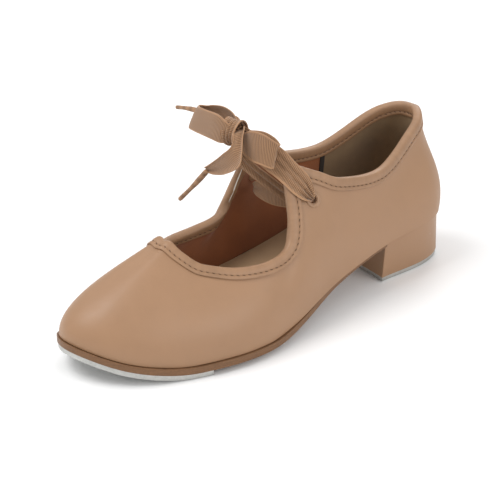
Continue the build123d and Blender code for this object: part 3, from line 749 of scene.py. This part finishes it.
class ShoeColours(bpy.types.PropertyGroup):
    """The shoe's colours."""
    leather: colour_setting("Leather", "Upper, heel cover and topline tape", 158, 122, 92)
    ribbon: colour_setting("Ribbon", "Grosgrain ribbon and its rolled ends", 166, 127, 94)
    vamp_lining: colour_setting("Vamp lining", "Cloth lining of the forepart and the tabs", 152, 92, 54)
    quarter_lining: colour_setting("Quarter lining", "Lining round the heel", 140, 116, 86)
    sock: colour_setting("Sock", "Sock lining over the insole", 178, 148, 116)
    sole: colour_setting("Sole", "Outsole and its trimmed edge", 128, 92, 62)
    metal: colour_setting("Tap metal", "Cast toe and heel taps", 196, 196, 192)
    thread: colour_setting("Thread", "Binding stitches", 104, 76, 52)


def sizes():
    return bpy.context.scene.shoe_sizes


def colours():
    return bpy.context.scene.shoe_colours


# ---------------------------------------------------------------- upper
EYELET_RIB = 6.55          # where the eyelets stand, as on the frame
EYELET_SHARE = 0.76
EYELET_HOLE = 2.7
EYELET_RIBS = (EYELET_RIB, COUNT - EYELET_RIB)


def pierce_eyelets(piece, ribs):
    """Cuts the eyelet holes through a wall layer."""
    for rib in ribs:
        point, out = wall_spot(rib, EYELET_SHARE)
        start_clean()
        bpy.ops.mesh.primitive_cylinder_add(vertices=40, radius=EYELET_HOLE * MM, depth=0.014,
                                            location=point * MM,
                                            rotation=facing(out))
        punch = bpy.context.object
        modify(piece, "BOOLEAN", operation="DIFFERENCE", object=punch, solver="EXACT")
        bpy.data.objects.remove(punch)


def wall_layer(name, points, towards, thickness, holes, merge=False):
    """A layer grown inwards from a grid of wall points, with eyelet holes at some ribs."""
    layer = grid_piece(name, points, grid_uv(points), merge)
    face_out(layer, towards)
    modify(layer, "SOLIDIFY", thickness=thickness * MM, offset=-1.0, use_even_offset=True)
    pierce_eyelets(layer, holes)
    smooth(layer, 50)
    return layer


class SHOE_OT_upper(bpy.types.Operator):
    """Makes the one-piece upper with its turned-in lasting margin and eyelet holes"""
    bl_idname = "shoe.upper"
    bl_label = "Upper"

    def execute(self, context):
        places = ring_places(288)
        margin = margin_grid(places, (LASTING_MARGIN, 9.0, 5.0, 2.4, 1.0))
        # closer rows where the leather turns under the last
        shares = np.concatenate([[0.004, 0.014, 0.03, 0.055], np.linspace(0.09, 1.0, 38)])
        face = wall_grid(places, [(share, 0.0) for share in shares])
        points = np.concatenate([margin, face], 1)
        upper = wall_layer("upper_shell", points, (1, 0, 0), UPPER, EYELET_RIBS, merge=True)
        finish_piece(upper, smooth_tan_leather(colours().leather), ["upper"])
        return {"FINISHED"}


class SHOE_OT_linings(bpy.types.Operator):
    """Makes the vamp and quarter linings"""
    bl_idname = "shoe.linings"
    bl_label = "Linings"

    def execute(self, context):
        for node, start, end, towards, colour, holes in (
                ("vamp_lining", SEAM_OUTER, SEAM_INNER, (1, 0, 0),
                 colours().vamp_lining, EYELET_RIBS),
                ("quarter_lining", SEAM_INNER - COUNT, SEAM_OUTER, (0, 1, 0),
                 colours().quarter_lining, ())):
            first, last = start + SEAM_GAP, end - SEAM_GAP
            places = ring_places(int(9 * (last - first)), first, last)
            points = wall_grid(places, [(share, LINING_OUT) for share in np.linspace(0.045, 0.998, 30)])
            lining = wall_layer(node + "_cloth", points, towards, LINING, holes)
            finish_piece(lining, lining_cloth(node + "_brushed", colour), [node])
        return {"FINISHED"}


TAPE_HALF = 0.05           # half its width, in ribs
TAPE_GAP = 0.15
TAPE_THICKNESS = 0.5
TAPE_ROUND = 0.15


class SHOE_OT_seam_tapes(bpy.types.Operator):
    """Makes the narrow tapes over the two lining seams"""
    bl_idname = "shoe.seam_tapes"
    bl_label = "Lining seam tapes"

    def execute(self, context):
        cloth = plain_cloth("seam_tape_black", tint(44, 38, 34), 0.0007)
        for node, seam, side in (("lining_seam_tape_lateral", SEAM_OUTER, 1),
                                 ("lining_seam_tape_medial", SEAM_INNER, -1)):
            places = ring_places(6, seam - TAPE_HALF, seam + TAPE_HALF)
            depth = LINING_IN + TAPE_GAP
            points = wall_grid(places, [(share, depth) for share in np.linspace(0.12, 0.9, 24)])
            tape = grid_piece(node + "_strip", points, grid_uv(points))
            face_out(tape, (side, 0, 0))
            modify(tape, "SOLIDIFY", thickness=TAPE_THICKNESS * MM, offset=-1.0)
            modify(tape, "BEVEL", width=TAPE_ROUND * MM, segments=2)
            smooth(tape, 50)
            finish_piece(tape, cloth, [node])
        return {"FINISHED"}


# The folded tape's section over the topline: distance below it as a share of the tape's reach,
# and depth from the leather's face in millimetres. The needle line makes a groove in both faces.
BINDING_SECTION = [
    (0.97, -0.1), (1.0, -0.7), (0.93, -1.05), (0.8, -1.1), (0.7, -0.85), (0.66, -0.66), (0.62, -0.86),
    (0.5, -1.12), (0.3, -1.15), (0.1, -1.0), (-0.04, -0.62), (-0.1, 0.05), (-0.125, 1.0), (-0.125, 1.85),
    (-0.1, 2.8), (-0.04, 3.45), (0.1, 3.78), (0.3, 3.85), (0.5, 3.8), (0.62, 3.6), (0.66, 3.45), (0.7, 3.6),
    (0.8, 3.8), (0.93, 3.75), (1.0, 3.45), (0.97, 2.95), (0.5, 2.9), (0.06, 2.85), (0.0, 2.1), (0.0, 0.7),
    (0.06, -0.08), (0.5, -0.1), (0.97, -0.1)]
NEEDLE_DROP = 4.1          # the stitches' distance below the topline
THREAD_DEPTHS = ((-0.78, 1), (3.58, -1))   # on each face, and the face's side
THREAD_WIDTH = 0.28        # as shares of a stitch's length, and so is its height
THREAD_HEIGHT = 0.24
THREAD_STEP = 0.02         # a stitch points to a place this far on, in ribs,
THREAD_SLANT = 0.1         # and this much nearer to or further from the topline


class SHOE_OT_binding(bpy.types.Operator):
    """Makes the folded tape over the topline and the row of stitches through it"""
    bl_idname = "shoe.binding"
    bl_label = "Topline binding"

    def execute(self, context):
        reach = sizes().binding_reach / MM
        stand = sizes().binding_stand / BINDING_STAND
        places = ring_places(448)
        section = [(drop * reach, depth * stand if depth < 0 else depth) for drop, depth in BINDING_SECTION]
        points = topline_grid(places, section)
        binding = grid_piece("binding_tape", points, grid_uv(points), merge=True)
        close_outwards(binding)
        smooth(binding, 60)
        finish_piece(binding, binding_leather(colours().leather), ["topline_binding"])
        self.stitch(context)
        return {"FINISHED"}

    def stitch(self, context):
        """Slanted stitches at an even pitch in the groove, on both faces of the tape."""
        places = ring_places(2048)
        rim = wall(*topline_walk(places, NEEDLE_DROP), 0)
        travel = np.concatenate([[0], np.cumsum(np.linalg.norm(np.diff(rim, axis=0), axis=1))])
        count = round(travel[-1] * MM / sizes().stitch_pitch)
        spots = np.interp((np.arange(count) + 0.5) / count * travel[-1], travel, places)
        start_clean()
        bpy.ops.mesh.primitive_uv_sphere_add(segments=7, ring_count=5, radius=1.0)
        model = bpy.context.object
        threads = []
        for depth, side in THREAD_DEPTHS:
            middle = wall(*topline_walk(spots, NEEDLE_DROP), depth)
            ahead = wall(*topline_walk(spots + THREAD_STEP, NEEDLE_DROP - THREAD_SLANT * side), depth)
            outward = side * (wall(*topline_walk(spots, NEEDLE_DROP), depth - 1) - middle)
            for centre, front, out in zip(middle, ahead, outward):
                along = Vector(front - centre).normalized()
                across = Vector(out).cross(along).normalized()
                thread = model.copy()
                thread.data = model.data.copy()
                turn = np.array([along, across * THREAD_WIDTH, along.cross(across) * THREAD_HEIGHT])
                write_points(thread.data, (read_points(thread.data) @ turn + centre) * MM)
                context.collection.objects.link(thread)
                threads.append(thread)
        bpy.data.objects.remove(model)
        stitches = join("binding_stitches", threads)
        smooth(stitches, 80)
        finish_piece(stitches, waxed_thread(colours().thread))


RING_RADIUS = 3.35
RING_THICKNESS = 0.95
RING_FLATNESS = 0.62       # a ring's height as a share of a round one's
RING_LIFT = 0.25           # how far its middle stands off the wall
BARREL_RADIUS = 2.62
BARREL_WALL = 0.4


class SHOE_OT_eyelets(bpy.types.Operator):
    """Makes the two enamelled eyelet rings"""
    bl_idname = "shoe.eyelets"
    bl_label = "Eyelets"

    def execute(self, context):
        enamel = tan_enamel(colours().leather)
        for node, rib in zip(("eyelet_lateral", "eyelet_medial"), EYELET_RIBS):
            point, out = wall_spot(rib, EYELET_SHARE)
            rings = []
            for lift in (RING_LIFT, -WALL - RING_LIFT):
                start_clean()
                bpy.ops.mesh.primitive_torus_add(
                    major_segments=64, minor_segments=16, major_radius=RING_RADIUS * MM,
                    minor_radius=RING_THICKNESS * MM, location=(point + out * lift) * MM,
                    rotation=facing(out))
                ring = bpy.context.object
                settle(ring)
                flatten_along(ring, point + out * lift, out, RING_FLATNESS)
                rings.append(ring)
            start_clean()
            bpy.ops.mesh.primitive_cylinder_add(
                vertices=48, radius=BARREL_RADIUS * MM, depth=(WALL + 0.7) * MM, end_fill_type="NOTHING",
                location=(point - out * WALL / 2) * MM, rotation=facing(out))
            barrel = bpy.context.object
            settle(barrel)
            modify(barrel, "SOLIDIFY", thickness=BARREL_WALL * MM, offset=-1.0)
            rings.append(barrel)
            eyelet = join(node + "_ring", rings)
            smooth(eyelet, 50)
            finish_piece(eyelet, enamel, [node])
        return {"FINISHED"}


# ---------------------------------------------------------------- bottom
class SHOE_OT_bottom(bpy.types.Operator):
    """Finishes the outsole, the covered heel and the sock with rounded edges"""
    bl_idname = "shoe.bottom"
    bl_label = "Sole, heel and sock"

    def execute(self, context):
        edge = sizes().edge_round / MM
        sole = soft_copy("outsole", "outsole_trimmed", edge)
        finish_piece(sole, brown_sole(colours().sole), ["outsole"])
        cover = soft_copy("heel_cover", "heel_cover_leather", edge * 0.8)
        finish_piece(cover, bpy.data.materials["smooth_tan_leather"], ["heel_cover"])
        sock = soft_copy("sock_lining", "sock_sheet", 0.35)
        finish_piece(sock, sock_sheet(colours().sock), ["sock_lining"])
        return {"FINISHED"}


class SHOE_OT_taps(bpy.types.Operator):
    """Finishes the cast taps and their screws with rounded edges"""
    bl_idname = "shoe.taps"
    bl_label = "Taps"

    def execute(self, context):
        metal = cast_aluminium(colours().metal)
        for node in ("toe_tap", "heel_tap"):
            tap = soft_copy(node, node + "_cast", 0.35)
            finish_piece(tap, metal, [node])
        steel = zinc_steel()
        for node in ("toe_tap_screws", "heel_tap_screws"):
            screws = soft_copy(node, node + "_turned", 0.12, segments=2)
            finish_piece(screws, steel, [node])
        return {"FINISHED"}


# ---------------------------------------------------------------- ribbon
RIBBON_WIDTH = 16.0
SELVEDGE = 0.9
GATHER_GROWTH = 3.2        # how much deeper the folds lie where the ribbon is narrowest

# A run of the ribbon is a list of stations. A station is a point on one edge and the point
# across from it on the other, each as x, distance forward and height.
INNER_LOOP = [
    ((-13.0, 135.2, 101.0), (-15.5, 135.2, 90.5)),
    ((-15.8, 136.2, 103.0), (-19.5, 136.2, 89.4)),
    ((-21.0, 136.6, 104.8), (-26.3, 136.5, 89.6)),
    ((-30.3, 135.3, 103.9), (-37.1, 135.3, 89.0)),
    ((-37.5, 133.8, 103.0), (-46.0, 133.6, 88.2)),
    ((-41.6, 131.8, 102.4), (-50.4, 131.6, 87.6)),
    ((-42.6, 129.6, 101.9), (-51.0, 129.2, 87.4)),
    ((-40.6, 127.4, 101.6), (-48.6, 127.0, 87.3)),
    ((-36.3, 126.2, 102.8), (-43.0, 125.8, 87.6)),
    ((-29.5, 125.2, 103.6), (-34.5, 125.0, 88.2)),
    ((-22.5, 125.2, 102.4), (-25.5, 125.6, 88.8)),
    ((-16.0, 127.0, 99.6), (-17.5, 127.6, 90.5)),
    ((-12.5, 129.5, 98.5), (-13.5, 129.5, 92.0))]
OUTER_LOOP = [
    ((-8.5, 133.5, 98.5), (-8.0, 133.8, 91.0)),
    ((-3.9, 133.2, 98.8), (-2.8, 134.2, 87.6)),
    ((1.1, 133.0, 101.0), (3.8, 134.0, 85.4)),
    ((8.3, 131.4, 101.0), (8.7, 132.6, 84.6)),
    ((13.6, 129.0, 98.4), (11.6, 130.2, 83.2)),
    ((15.4, 126.8, 96.4), (12.2, 128.0, 82.6)),
    ((14.2, 125.2, 96.0), (10.8, 126.2, 82.8)),
    ((9.5, 124.8, 98.0), (7.0, 125.6, 84.6)),
    ((2.5, 126.0, 99.4), (1.6, 126.8, 86.6)),
    ((-5.5, 128.6, 98.4), (-5.5, 129.0, 91.0))]
FRONT_TAIL = [
    ((-6.0, 131.5, 101.2), (-9.5, 134.6, 98.6)),
    ((-2.9, 134.2, 101.0), (-7.4, 137.6, 98.0)),
    ((-0.8, 137.2, 97.0), (-5.4, 139.8, 94.6)),
    ((2.6, 140.6, 91.2), (-5.6, 142.0, 91.6)),
    ((2.8, 142.8, 84.6), (-9.6, 143.2, 87.8)),
    ((-7.0, 143.6, 77.9), (-12.6, 143.8, 84.8)),
    ((-15.4, 143.6, 75.0), (-19.2, 144.0, 79.4)),
    ((-21.0, 143.4, 74.2), (-23.4, 143.7, 76.4))]
BACK_TAIL = [
    ((-11.0, 129.0, 101.0), (-11.0, 129.0, 92.0)),
    ((-20.0, 124.0, 100.5), (-20.0, 124.0, 90.5)),
    ((-33.0, 122.6, 98.0), (-33.0, 122.6, 91.0)),
    ((-44.0, 122.2, 95.4), (-44.0, 122.2, 92.6)),
    ((-50.0, 122.0, 94.1), (-50.0, 122.0, 92.2))]
OUTER_STRAP = [
    ((-9.0, 129.5, 100.0), (-8.0, 130.0, 91.0)),
    ((-1.0, 127.5, 97.5), (-2.0, 129.0, 85.0)),
    ((7.5, 124.5, 95.0), (5.5, 128.0, 80.5)),
    ((12.6, 120.0, 90.0), (12.0, 126.4, 77.6)),
    ((16.6, 116.2, 84.0), (18.0, 125.4, 74.6)),
    ((19.6, 113.4, 80.0), (21.6, 123.2, 71.0)),
    ((22.0, 111.6, 76.4), (24.4, 120.4, 68.0)),
    ((24.4, 110.8, 70.8), (25.8, 117.6, 66.3)),
    ((25.4, 111.6, 67.4), (25.9, 114.6, 65.4)),
    ((24.0, 111.9, 65.6), (24.2, 113.6, 64.4)),
    ((21.0, 111.6, 64.4), (21.2, 113.0, 63.4))]
INNER_STRAP = [
    ((-12.5, 129.5, 99.0), (-13.5, 130.0, 91.0)),
    ((-14.0, 125.0, 95.5), (-16.0, 128.0, 83.0)),
    ((-15.4, 120.0, 89.5), (-18.6, 126.4, 77.6)),
    ((-18.2, 116.0, 84.0), (-21.4, 123.8, 73.4)),
    ((-20.6, 113.4, 80.0), (-23.4, 120.8, 70.0)),
    ((-23.0, 111.8, 75.6), (-25.2, 117.8, 67.2)),
    ((-24.8, 111.6, 69.6), (-25.4, 114.8, 66.0)),
    ((-23.0, 111.8, 66.0), (-23.2, 113.6, 64.8)),
    ((-20.4, 111.6, 65.0), (-20.6, 113.0, 64.0))]
LOW_BAND = [
    ((-11.5, 132.5, 90.0), (-12.5, 132.5, 84.0)),
    ((-7.4, 130.0, 84.8), (-10.2, 130.0, 77.1)),
    ((-2.6, 125.6, 79.0), (-2.6, 125.6, 70.4)),
    ((3.2, 120.4, 73.0), (4.6, 120.4, 64.2)),
    ((9.0, 116.0, 68.0), (10.4, 116.0, 59.6)),
    ((14.0, 112.6, 65.6), (15.0, 112.4, 60.8))]
SLACK_RUN = [
    ((15.6, 111.0, 66.0), (15.6, 111.0, 62.0)),
    ((10.5, 113.6, 67.4), (11.5, 113.4, 57.0)),
    ((1.5, 116.0, 66.4), (2.0, 116.6, 55.6)),
    ((-6.5, 116.8, 65.6), (-6.9, 117.6, 56.0)),
    ((-13.4, 116.6, 64.4), (-13.6, 117.2, 57.2)),
    ((-16.4, 115.4, 62.6), (-16.6, 115.6, 58.6)),
    ((-15.8, 113.4, 62.6), (-16.2, 113.4, 58.4)),
    ((-16.8, 111.0, 65.4), (-17.0, 110.8, 61.0))]
KNOT_MIDDLE = (-12.8, 132.6, 95.9)         # x, distance forward, height
KNOT_REACH = (5.2, 7.4)                    # half its depth and half its height


def knot_wrap():
    """Stations of the band round the knot, wider where it turns over the top."""
    stations = []
    for k in range(15):
        turn = math.tau * k / 14 + 0.6
        forward = KNOT_MIDDLE[1] + KNOT_REACH[0] * math.cos(turn)
        height = KNOT_MIDDLE[2] + KNOT_REACH[1] * math.sin(turn)
        half = 4.9 + 0.9 * math.sin(turn)
        lean = 1.0 * math.sin(turn) * math.cos(turn)
        stations.append(((KNOT_MIDDLE[0] - half + lean, forward - 0.5, height - 0.6),
                         (KNOT_MIDDLE[0] + half + lean, forward - 0.5, height + 0.6)))
    return stations


# name, stations, how far the middle stands out, fold lines across it and their depth
RIBBON_RUNS = [
    ("inner_loop", INNER_LOOP, 0.7, 1, 0.25),
    ("outer_loop", OUTER_LOOP, 0.8, 1, 0.2),
    ("front_tail", FRONT_TAIL, 1.4, 1, 0.2),
    ("back_tail", BACK_TAIL, 1.0, 3, 0.4),
    ("outer_strap", OUTER_STRAP, 0.8, 4, 0.5),
    ("inner_strap", INNER_STRAP, 0.8, 4, 0.5),
    ("low_band", LOW_BAND, 0.5, 2, 0.3),
    ("slack_run", SLACK_RUN, 0.4, 1, 0.2),
    ("knot_wrap", knot_wrap(), 0.9, 4, 0.32),
]


def ribbon_grid(stations, swell, folds, depth, across=22):
    """A smooth strip through stations, crowned, with lengthwise folds where it is gathered."""
    rows = np.array(stations, float).reshape(len(stations), 6)
    places = np.linspace(0, len(rows) - 1, 12 * (len(rows) - 1) + 1)
    rows = smooth_rows(rows, places, closed=False)
    near, far = rows[:, :3], rows[:, 3:]
    near, far = [np.stack([e[:, 0], ORIGIN_FORWARD - e[:, 1], e[:, 2]], 1) for e in (near, far)]
    width = np.linalg.norm(far - near, axis=1)
    along = np.gradient((near + far) / 2, axis=0)
    out = np.cross(along, far - near)
    out /= np.linalg.norm(out, axis=1, keepdims=True)
    gather = np.clip(1.25 - width / RIBBON_WIDTH, 0.15, 1)
    share = np.linspace(0, 1, across)
    crown = 1 - (2 * share - 1)**2
    wave = np.sin(share * math.tau * folds + 0.7) * crown**0.5
    lift = swell * crown[None] + (depth * gather * GATHER_GROWTH)[:, None] * wave[None]
    return near[:, None] + (far - near)[:, None] * share[None, :, None] + out[:, None] * lift[..., None]


# name, start, end, and how far the middle rises
ROLLED_ENDS = [
    ("front", (-21.6, 143.4, 75.0), (-42.8, 145.0, 52.5), -0.3),
    ("back", (-46.0, 122.1, 93.8), (-74.6, 120.6, 89.6), 0.9)]
ROLL_START = 1.5           # radii
ROLL_END = 1.05


def tip_grid(start, end, arch):
    """A closed tapering roll from one point to another."""
    ends = [np.array([p[0], ORIGIN_FORWARD - p[1], p[2]]) for p in (start, end)]
    run = ends[1] - ends[0]
    length = np.linalg.norm(run)
    side = unit(np.cross(run, (0, 0, 1)))
    up = np.cross(side, run) / length
    shares = np.concatenate([[0, 0, 0.008, 0.02], np.linspace(0.04, 0.96, 40), [0.982, 0.995, 1, 1]])
    grow = np.concatenate([[0, 0.8, 0.95, 1], np.ones(40), [0.96, 0.85, 0.62, 0]])
    turn = np.linspace(0, math.tau, 25)
    points = np.zeros((len(shares), len(turn), 3))
    for i, (share, size) in enumerate(zip(shares, grow)):
        seam = 1 + 0.10 * np.cos(turn * 2 + share * 9)
        radius = (ROLL_START + (ROLL_END - ROLL_START) * share) * size * seam
        middle = ends[0] + run * share + up * arch * math.sin(math.pi * share)
        points[i] = middle + side * (radius * np.cos(turn))[:, None] + up * (radius * np.sin(turn))[:, None]
    return points


class SHOE_OT_bow(bpy.types.Operator):
    """Makes the tied grosgrain ribbon, with its bow, knot, straps and rolled ends"""
    bl_idname = "shoe.bow"
    bl_label = "Ribbon bow"

    def execute(self, context):
        runs = []
        for name, stations, swell, folds, depth in RIBBON_RUNS:
            points = ribbon_grid(stations, swell, folds, depth)
            uv = grid_uv(points)
            uv[..., 1] *= RIBBON_WIDTH * MM / uv[0, -1, 1]
            run = grid_piece(name, points, uv)
            modify(run, "SOLIDIFY", thickness=sizes().ribbon_thickness, offset=0.0)
            runs.append(run)
        bow = join("ribbon_bow", runs)
        smooth(bow, 60)
        cloth = grosgrain("tan_grosgrain", colours().ribbon, sizes().rib_pitch, SELVEDGE * MM,
                          RIBBON_WIDTH * MM)
        finish_piece(bow, cloth, ["ribbon_lace"])
        rolls = []
        for name, start, end, arch in ROLLED_ENDS:
            points = tip_grid(start, end, arch)
            roll = grid_piece("roll_" + name, points, grid_uv(points), merge=True)
            close_outwards(roll)
            rolls.append(roll)
        tips = join("ribbon_rolled_ends", rolls)
        smooth(tips, 60)
        finish_piece(tips, rolled_ribbon(colours().ribbon, sizes().rib_pitch), ["lace_tips"])
        return {"FINISHED"}


# ---------------------------------------------------------------- pieces out of sight
class SHOE_OT_inside(bpy.types.Operator):
    """Gives the stiffeners, insole, shank, filler, heel block and nails their finishes"""
    bl_idname = "shoe.inside"
    bl_label = "Inside pieces"

    def execute(self, context):
        finishes = {
            "toe_puff": plain_cloth("puff_fibre", tint(214, 206, 190), 0.0009),
            "heel_counter": plain_cloth("counter_fibre", tint(196, 172, 138), 0.0011),
            "interlining_lateral": plain_cloth("interlining_cloth", tint(222, 216, 204)),
            "interlining_medial": plain_cloth("interlining_cloth_inner", tint(222, 216, 204)),
            "insole_board": granular("insole_fibre", tint(190, 150, 112), 900),
            "bottom_filler": granular("filler_cork", tint(150, 108, 70), 520),
            "heel_block": granular("heel_plastic", tint(186, 178, 160), 1500),
            "shank": zinc_steel(),
            "heel_nails": zinc_steel(),
        }
        for node, material in finishes.items():
            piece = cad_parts[node]
            for slot in piece.material_slots:
                slot.material = material
        return {"FINISHED"}


# ---------------------------------------------------------------- stage
CAMERA_PLACE = (0.5845, -0.6106, 0.4009)
CAMERA_TARGET = (-0.0035, -0.0977, 0.0321)
CAMERA_LENS = 118.5


SHOE_MIDDLE = (0, -0.1, 0.04)
LIGHTS = [                 # name, place, size and power
    ("key_light", (-0.35, -0.75, 1.25), 0.9, 11),
    ("side_light", (1.2, 0.1, 0.7), 0.9, 5),
    ("back_light", (-0.7, 0.9, 0.9), 0.8, 5)]


def aim(thing, place, target):
    """Turns a light or a camera from its place to a target."""
    thing.rotation_euler = (Vector(target) - Vector(place)).to_track_quat("-Z", "Y").to_euler()


def area_light(name, place, size, power):
    start_clean()
    bpy.ops.object.light_add(type="AREA", location=place)
    light = bpy.context.object
    light.name = name
    aim(light, place, SHOE_MIDDLE)
    light.data.shape = "DISK"
    light.data.size = size
    light.data.energy = power


class SHOE_OT_stage(bpy.types.Operator):
    """Makes the plain pale floor, the soft lights and the camera"""
    bl_idname = "shoe.stage"
    bl_label = "Stage"

    def execute(self, context):
        start_clean()
        bpy.ops.mesh.primitive_plane_add(size=12, location=(0, -0.1, -0.0002))
        floor = bpy.context.object
        floor.name = floor.data.name = "studio_floor"
        settle(floor)
        floor.data.materials.append(studio_paper())
        world = bpy.data.worlds.new("studio_world")
        world.use_nodes = True
        background = world.node_tree.nodes["Background"]
        background.inputs["Color"].default_value = (1, 1, 1, 1)
        background.inputs["Strength"].default_value = 0.75
        context.scene.world = world
        for light in LIGHTS:
            area_light(*light)
        bpy.ops.object.camera_add(location=CAMERA_PLACE)
        camera = bpy.context.object
        camera.name = "studio_camera"
        aim(camera, CAMERA_PLACE, CAMERA_TARGET)
        camera.data.lens = CAMERA_LENS
        camera.data.sensor_width = 36
        camera.data.clip_start = 0.01
        context.scene.camera = camera
        context.scene.view_settings.view_transform = "Standard"
        return {"FINISHED"}


# ---------------------------------------------------------------- add-on
MAKERS = (SHOE_OT_stage, SHOE_OT_upper, SHOE_OT_linings, SHOE_OT_seam_tapes, SHOE_OT_binding,
          SHOE_OT_eyelets, SHOE_OT_bottom, SHOE_OT_taps, SHOE_OT_bow, SHOE_OT_inside)


class SHOE_PT_maker(bpy.types.Panel):
    """Lists the shoe's makers and settings"""
    bl_idname = "SHOE_PT_maker"
    bl_label = "Tap Shoe"
    bl_space_type = "VIEW_3D"
    bl_region_type = "UI"
    bl_category = "Shoe"

    def draw(self, context):
        column = self.layout.column()
        for maker in MAKERS:
            column.operator(maker.bl_idname)
        for settings in (context.scene.shoe_sizes, context.scene.shoe_colours):
            for key in settings.__annotations__:
                column.prop(settings, key)


CLASSES = (ShoeSizes, ShoeColours, *MAKERS, SHOE_PT_maker)


def register():
    for part in CLASSES:
        bpy.utils.register_class(part)
    bpy.types.Scene.shoe_sizes = bpy.props.PointerProperty(type=ShoeSizes)
    bpy.types.Scene.shoe_colours = bpy.props.PointerProperty(type=ShoeColours)


def unregister():
    del bpy.types.Scene.shoe_colours
    del bpy.types.Scene.shoe_sizes
    for part in reversed(CLASSES):
        bpy.utils.unregister_class(part)


def main():
    register()
    for maker in MAKERS:
        group, operator = maker.bl_idname.split(".")
        getattr(getattr(bpy.ops, group), operator)()


if __name__ == "__main__":
    main()
